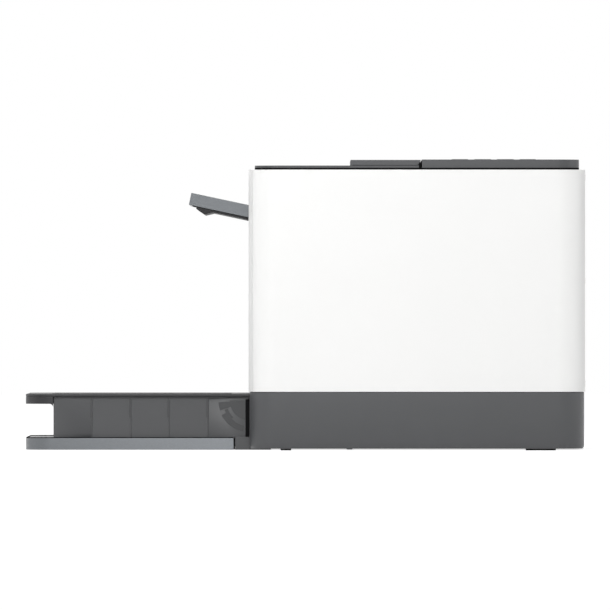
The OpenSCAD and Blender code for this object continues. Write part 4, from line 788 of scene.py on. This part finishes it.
class PRINTER_OT_base(bpy.types.Operator):
    """Grey base with its chamfered foot, and the rubber feet"""
    bl_idname = "printer.base"
    bl_label = "Base and feet"

    def execute(self, context):
        low, high = box_mm("base_housing")
        bay = box_mm("bay_plate")[1]
        clear = 0.1
        bay_half, bay_back = bay.x + clear, bay.y + clear
        corner, chamfer_h, chamfer_in, wall = 27, 2.8, 1.4, 3.0
        bm = bmesh.new()
        block(bm, (low.x, low.y, low.z + chamfer_h), high, corner, segments=16)
        bottom = min(bm.faces, key=lambda f: f.calc_center_median().z)
        bmesh.ops.inset_region(bm, faces=[bottom], thickness=chamfer_in, use_even_offset=True)
        bmesh.ops.translate(bm, vec=(0, 0, -chamfer_h), verts=bottom.verts)
        cut(bm, (bay_half, 0, 0), (1, 0, 0))
        cut(bm, (-bay_half, 0, 0), (1, 0, 0))
        cut(bm, (0, bay_back, 0), (0, 1, 0))
        inside = [f for f in bm.faces if abs(f.calc_center_median().x) < bay_half - NEAR
                  and f.calc_center_median().y < bay_back - NEAR]
        bmesh.ops.delete(bm, geom=inside, context="FACES")
        # Walls of the bay: an upright edge in each rear corner closes three flat outlines
        for x in (-bay_half, bay_half):
            ends = [v for v in bm.verts if abs(v.co.x - x) < NEAR
                    and abs(v.co.y - bay_back) < NEAR]
            bm.edges.new(sorted(ends, key=lambda v: v.co.z)[::len(ends) - 1])
        rim = [e for e in bm.edges if len(e.link_faces) < 2]
        for flat in (lambda v: abs(v.co.x - bay_half) < NEAR,
                     lambda v: abs(v.co.x + bay_half) < NEAR,
                     lambda v: abs(v.co.y - bay_back) < NEAR and abs(v.co.x) < bay_half + NEAR):
            bmesh.ops.contextual_create(bm, geom=[e for e in rim if all(map(flat, e.verts))])

        def side_tops(beyond):
            return [f for f in bm.faces if f.normal.z > FACING
                    and abs(f.calc_center_median().x) > beyond]

        # Pockets that hollow the two sides
        tops = side_tops(bay_half)
        bmesh.ops.dissolve_limit(
            bm, angle_limit=FLAT, use_dissolve_boundaries=False, delimit=set(),
            verts=list({v for f in tops for v in f.verts}),
            edges=list({e for f in tops for e in f.edges
                        if abs((e.verts[0].co + e.verts[1].co).x) > 2 * bay_half}))
        for top in side_tops(bay_half + 1):
            bmesh.ops.inset_region(bm, faces=[top], thickness=wall, use_even_offset=True)
            pushed(bm, top, (0, 0, low.z + wall - high.z))
            bmesh.ops.delete(bm, geom=[top], context="FACES_ONLY")
        finish(bm, "base_moulding", "body", "Grey moulded ABS", "base_housing",
               edge=sizes().cover_edge, stands_for=["base_housing"])
        softened("feet", "Moulded foot rubber", sizes().fine_edge)
        dress({"Black inner ABS": ["bay_plate"], "Black deck ABS": ["slide_rails"]})
        return {"FINISHED"}


class PRINTER_OT_cassette(bpy.types.Operator):
    """Paper cassette: its tray, silver front, lift plate and sliding guides"""
    bl_idname = "printer.cassette"
    bl_label = "Paper cassette"

    def execute(self, context):
        fine = sizes().fine_edge
        softened("cassette_tray", "Cassette polystyrene", fine)
        softened("cassette_front", "Silver lacquer", fine)
        softened("lift_plate", "Zinc-plated steel", 0.15 * MM)
        for node in ("side_guide_left", "side_guide_right", "length_guide"):
            softened(node, "Blue acetal", fine)
        for side, tag in ((-1, "left"), (1, "right")):
            tray_fittings(side, tag)
        front_edge_seal()
        # Marks for sheet lengths, raised on the floor beside the length guide
        low = box_mm("cassette_tray")[0]
        floor_z, plate_half = low.z + 12, box_mm("lift_plate")[1].x
        bm = bmesh.new()
        for side in (-1, 1):
            size_marks(bm, (side * (plate_half + 5), low.y + 56), (0, 12), 12, 3, (side, 0),
                       (9, 5), 0.8, floor_z - SUNK, floor_z + 0.25)
        finish(bm, "tray_size_marks", "cassette", "Printed ink", "cassette_tray", edge=0.1 * MM)
        return {"FINISHED"}


class PRINTER_OT_deck(bpy.types.Operator):
    """Output deck with its hollow lip, extension and paper stop"""
    bl_idname = "printer.deck"
    bl_label = "Output deck"

    def execute(self, context):
        fine = sizes().fine_edge
        for node in ("output_deck", "deck_lip", "output_extension", "paper_stop"):
            softened(node, "Black deck ABS", fine)
        # Low ridges that keep a warm sheet off the deck
        low, high = box_mm("output_deck")
        half, rise = 1.4, 0.15
        bm = bmesh.new()
        for x in (62, 88, 114, 140):
            for middle in (-x, x):
                block(bm, (middle - half, low.y + 26, high.z - SUNK),
                      (middle + half, high.y - 24, high.z + rise), corner=1.3)
        finish(bm, "deck_ridges", "deck", "Black deck ABS", "output_deck", edge=0.08 * MM)
        lip_fillets()
        return {"FINISHED"}


class PRINTER_OT_panel(bpy.types.Operator):
    """Tilting control panel with its screen, touch signs, lamps and power button"""
    bl_idname = "printer.panel"
    bl_label = "Control panel"

    def execute(self, context):
        fine = sizes().fine_edge
        # The panel housing takes the silver lacquer darkened as painted shade
        softened("panel_housing", "Dark silver lacquer", sizes().cover_edge)
        softened("panel_underside", "Black inner ABS", sizes().cover_edge)
        softened("display_glass", "Acrylic window", fine)
        softened("power_button", "White moulded ABS", fine)
        # The panel's own axes: its pivot, tipped up towards the user
        tip = math.radians(-12)
        pose = Matrix.Translation(pivot_mm("panel_tilt")) @ Matrix.Rotation(tip, 4, "X")
        top, screen, button = 8.0, Vector((38, -36.25)), Vector((-140, -34.75))

        def place(bm, *rest, **more):
            bmesh.ops.transform(bm, matrix=pose, verts=bm.verts)
            return finish(bm, *rest, **more)

        bm = bmesh.new()
        half = Vector((31, 18))
        block(bm, (*(screen - half), top - SUNK), (*(screen + half), top + 0.1), corner=1.2)
        place(bm, "panel_screen", "panel", "Unlit screen", "display_glass", edge=0.04 * MM)
        # Signs for back, home, cancel and start, each in its ring
        bm = bmesh.new()
        ink = (0.55, top - 0.05, top + 0.07)
        left, right = screen.x - 41, screen.x + 41
        upper, lower = screen.y + 8.25, screen.y - 8.75
        for x, y, lines in (
                (left, upper, [[(1.6, 2.6), (-1.4, 0), (1.6, -2.6)]]),
                (left, lower, [[(-2.6, 0.2), (0, 2.6), (2.6, 0.2)],
                               [(-1.8, 0), (-1.8, -2.4), (1.8, -2.4), (1.8, 0)]]),
                (right, lower, [[(-2, -2), (2, 2)], [(-2, 2), (2, -2)]]),
                (right, upper, [[(-1.7, 2.4), (2.3, 0), (-1.7, -2.4), (-1.7, 2.4)]])):
            for line in lines:
                stroke(bm, [(x + dx, y + dy) for dx, dy in line], *ink)
            ring(bm, (x, y), (4.9, 5.3), (0, 360), *ink[1:])
        place(bm, "panel_signs", "panel", "Printed ink", "display_glass")
        bm = bmesh.new()
        half = Vector((1.4, 3.75))
        for lamp in (button + Vector((20, 0)), button + Vector((29, 0))):
            block(bm, (*(lamp - half), top - SUNK), (*(lamp + half), top + 0.15), corner=1.35)
        place(bm, "panel_lamps", "panel", "Signal lens", "display_glass", edge=0.06 * MM)
        # Power sign on the button's crown
        bm = bmesh.new()
        crown = (top + 0.75, top + 0.86)
        ring(bm, button, (2.3, 2.85), (120, 420), *crown)
        stroke(bm, [button + Vector((0, 0.35)), button + Vector((0, 3.45))], 0.55, *crown)
        place(bm, "power_sign", "power_button", "Cassette trim ABS", "power_button")
        return {"FINISHED"}


class PRINTER_OT_lid(bpy.types.Operator):
    """Scanner lid, raised rear cover and document tray"""
    bl_idname = "printer.lid"
    bl_label = "Scanner lid"

    def execute(self, context):
        edge, fine = sizes().cover_edge, sizes().fine_edge
        for node, width in (("scanner_lid", fine), ("lid_rear_cover", fine),
                            ("document_tray", fine), ("feeder_cover", edge)):
            softened(node, "Grey moulded ABS", width)
        # Black strip along the lid's lower edge: a painted shadow, the dark line above the covers;
        # it stops short of the hinges at the rear
        low, high = box_mm("lid_rear_cover")
        front_y, past = box_mm("scanner_lid")[0].y, 0.1
        bm = bmesh.new()
        block(bm, (-high.x - past, front_y - past, low.z - past),
              (high.x + past, high.y + past, low.z + 1.5), corner=20, segments=16)
        walled(bm, 0.4, rear=False)
        finish(bm, "lid_edge_seal", "lid", "Black felt", "scanner_lid")
        for node in ("document_guide_front", "document_guide_rear"):
            softened(node, "Black deck ABS", fine)
        dress({"Open-cell foam": ["lid_pad"]})
        shafted("feeder_roller", "Ground roller rubber", 1)
        return {"FINISHED"}


class PRINTER_OT_scanner(bpy.types.Operator):
    """Scanner bed with its size marks, platen glass and the lamp carriage under it"""
    bl_idname = "printer.scanner"
    bl_label = "Scanner"

    def execute(self, context):
        softened("scanner_bed", "Grey moulded ABS", sizes().fine_edge)
        dress({"Float glass": ["scanner_glass"], "Turned steel": ["guide_rod"],
               "Black inner ABS": ["scan_carriage"], "Zinc-plated steel": ["lid_hinges"]})
        low, high = box_mm("scanner_glass")
        # Size marks along two edges of the glass, and the arrow at its corner
        bm = bmesh.new()
        level = (high.z - 0.05, high.z + 0.1)
        gap, reaches, width = 1.2, (5, 2.6), 0.5
        size_marks(bm, (low.x + 12, low.y - gap), (10, 0), 30, 5, (0, -1), reaches, width, *level)
        size_marks(bm, (high.x + gap, high.y - 6), (0, -10), 21, 5, (1, 0), reaches, width, *level)
        stroke(bm, [(high.x + 2, high.y + 6), (high.x + 7, high.y + 6), (high.x + 2, high.y + 1),
                    (high.x + 2, high.y + 6)], 0.6, *level)
        finish(bm, "bed_size_marks", "body", "Printed ink", "scanner_bed")
        # Light bar and lens row on the carriage
        low, high = box_mm("scan_carriage")
        middle = (low.x + high.x) / 2
        bm = bmesh.new()
        for x in (middle - 4.5, middle + 4.5):
            block(bm, (x - 1.5, low.y + 14, high.z - 0.4), (x + 1.5, high.y - 6, high.z + 0.1),
                  corner=0.6)
        finish(bm, "carriage_lamp", "scan_carriage", "Signal lens", "scan_carriage", edge=0.1 * MM)
        bm = bmesh.new()
        for step in range(53):
            stub(bm, middle, low.y + 16 + 4 * step, high.z - 0.5, high.z + 0.1, 1.7, 1.5)
        finish(bm, "carriage_lenses", "scan_carriage", "Quartz tube", "scan_carriage")
        return {"FINISHED"}


class PRINTER_OT_engine(bpy.types.Operator):
    """Print engine: frames, rollers, drum, fuser and laser unit"""
    bl_idname = "printer.engine"
    bl_label = "Print engine"

    def execute(self, context):
        dress({
            "Zinc-plated steel": ["side_frames"],
            "Black inner ABS": ["front_frame", "laser_housing", "toner_hopper", "fuser_housing",
                                "turn_guide", "fan_frame", "fan_rotor"],
            "Photoconductor coating": ["photo_drum"],
            "Non-stick coating": ["heat_roller"],
            "Silicone rubber": ["pressure_roller"],
            "Quartz tube": ["fuser_lamp"],
            "Bronze mirror polish": ["polygon_mirror"],
            "Turned steel": ["motor_pinion"],
            "Black deck ABS": ["drive_motor"],
        })
        for node in ("developer_roller", "transfer_roller", "registration_roller",
                     "pick_roller", "exit_roller"):
            shafted(node, "Ground roller rubber", 0)
        return {"FINISHED"}


class PRINTER_OT_electronics(bpy.types.Operator):
    """Main board, power supply, inlet and sockets"""
    bl_idname = "printer.electronics"
    bl_label = "Electronics"

    def execute(self, context):
        dress({"Solder mask": ["main_board"], "Zinc-plated steel": ["power_supply"],
               "Black inner ABS": ["mains_inlet"], "Nickel-plated screw steel": ["port_sockets"]})
        # Tongue of the data socket, and the contact springs in both sockets
        low, high = box_mm("port_sockets")
        middle = (low.x + high.x) / 2
        bm = bmesh.new()
        block(bm, (middle - 3.2, low.y + 3.8, low.z + 4.6),
              (middle + 3.2, high.y - 1.9, low.z + 6.4), corner=0.4)
        finish(bm, "data_socket_tongue", "body", "White moulded ABS", "port_sockets",
               edge=0.15 * MM)
        bm = bmesh.new()
        for count, first, pitch, half, front, back, under, over in (
                (4, middle - 2.3, 1.53, 0.35, 4.6, 2.9, low.z + 6.3, low.z + 6.55),
                (8, middle - 3.5, 1.0, 0.2, 4.1, 2.4, high.z - 3.35, high.z - 3.0)):
            for step in range(count):
                x = first + pitch * step
                block(bm, (x - half, low.y + front, under), (x + half, high.y - back, over))
        finish(bm, "socket_contacts", "body", "Gold-plated contacts", "port_sockets",
               edge=0.05 * MM)
        return {"FINISHED"}


class PRINTER_OT_rear_screws(bpy.types.Operator):
    """Six cross-head screws that hold the rear cover"""
    bl_idname = "printer.rear_screws"
    bl_label = "Rear screws"

    def execute(self, context):
        low, high = box_mm("rear_cover")
        inset, radius, rise = 8.0, 3.4, 0.4
        bm = bmesh.new()
        for x in (low.x + inset, high.x - inset):
            for z in (low.z + inset, (low.z + high.z) / 2, high.z - inset):
                place = (Matrix.Translation((x, high.y - 0.02, z))
                         @ Matrix.Rotation(math.radians(-90), 4, "X"))
                cross_screw(bm, place, radius, rise)
        finish(bm, "rear_cover_screws", "body", "Nickel-plated screw steel", "rear_cover")
        return {"FINISHED"}


class PRINTER_OT_studio(bpy.types.Operator):
    """Pale floor, soft lamps and the camera, level with the printer's right side"""
    bl_idname = "printer.studio"
    bl_label = "Studio"

    def execute(self, context):
        scene = context.scene
        scene.view_settings.view_transform = "Standard"
        side_x, middle_y, middle_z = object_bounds()[1].x, -0.0003, 0.1477
        studio_floor(scene)
        studio_world(scene)
        # Lamps: place, side in metres, watts
        aim = Vector((0.1, 0.05, 0.14))
        for name, spot, side, power in (
                ("Key softbox", (2.3, -0.42, 1.12), 1.0, 28),
                ("Top softbox", (0.6, -0.6, 3.2), 2.2, 18),
                ("Front softbox", (0.2, -3.4, 1.2), 1.6, 14),
                ("Rear softbox", (0.3, 3.4, 1.2), 1.4, 18)):
            lamp = bpy.data.lights.new(name, "AREA")
            lamp.shape = "SQUARE"
            lamp.size = side
            lamp.energy = power
            placed(scene, name, lamp, spot,
                   (aim - Vector(spot)).to_track_quat("-Z", "Y").to_euler())
        camera = bpy.data.cameras.new("Camera")
        away, field = sizes().camera_away, sizes().field
        camera.sensor_width = 36.0
        camera.lens = camera.sensor_width * away / field
        camera.clip_end = 50.0
        scene.camera = placed(scene, "Camera", camera, (side_x + away, middle_y, middle_z),
                              (math.radians(90), 0, math.radians(90)))
        return {"FINISHED"}


PIECES = (
    PRINTER_OT_covers, PRINTER_OT_base, PRINTER_OT_cassette, PRINTER_OT_deck, PRINTER_OT_panel,
    PRINTER_OT_lid, PRINTER_OT_scanner, PRINTER_OT_engine, PRINTER_OT_electronics,
    PRINTER_OT_rear_screws, PRINTER_OT_studio,
)


class VIEW3D_PT_printer(bpy.types.Panel):
    """Lists the printer's colours, sizes and pieces"""
    bl_label = "Printer"
    bl_space_type = "VIEW_3D"
    bl_region_type = "UI"
    bl_category = "Printer"

    def draw(self, context):
        for group in (context.scene.printer_colours, context.scene.printer_sizes):
            column = self.layout.column(align=True)
            for key in group.__annotations__:
                column.prop(group, key)
        for operator in PIECES:
            self.layout.operator(operator.bl_idname)


CLASSES = (PrinterColours, PrinterSizes, *PIECES, VIEW3D_PT_printer)


def register():
    for kind in CLASSES:
        bpy.utils.register_class(kind)
    bpy.types.Scene.printer_colours = bpy.props.PointerProperty(type=PrinterColours)
    bpy.types.Scene.printer_sizes = bpy.props.PointerProperty(type=PrinterSizes)


def unregister():
    del bpy.types.Scene.printer_sizes
    del bpy.types.Scene.printer_colours
    for kind in reversed(CLASSES):
        bpy.utils.unregister_class(kind)


def main():
    """Builds every piece and the studio."""
    register()
    for operator in PIECES:
        group, name = operator.bl_idname.split(".")
        getattr(getattr(bpy.ops, group), name)()


if __name__ == "__main__":
    main()
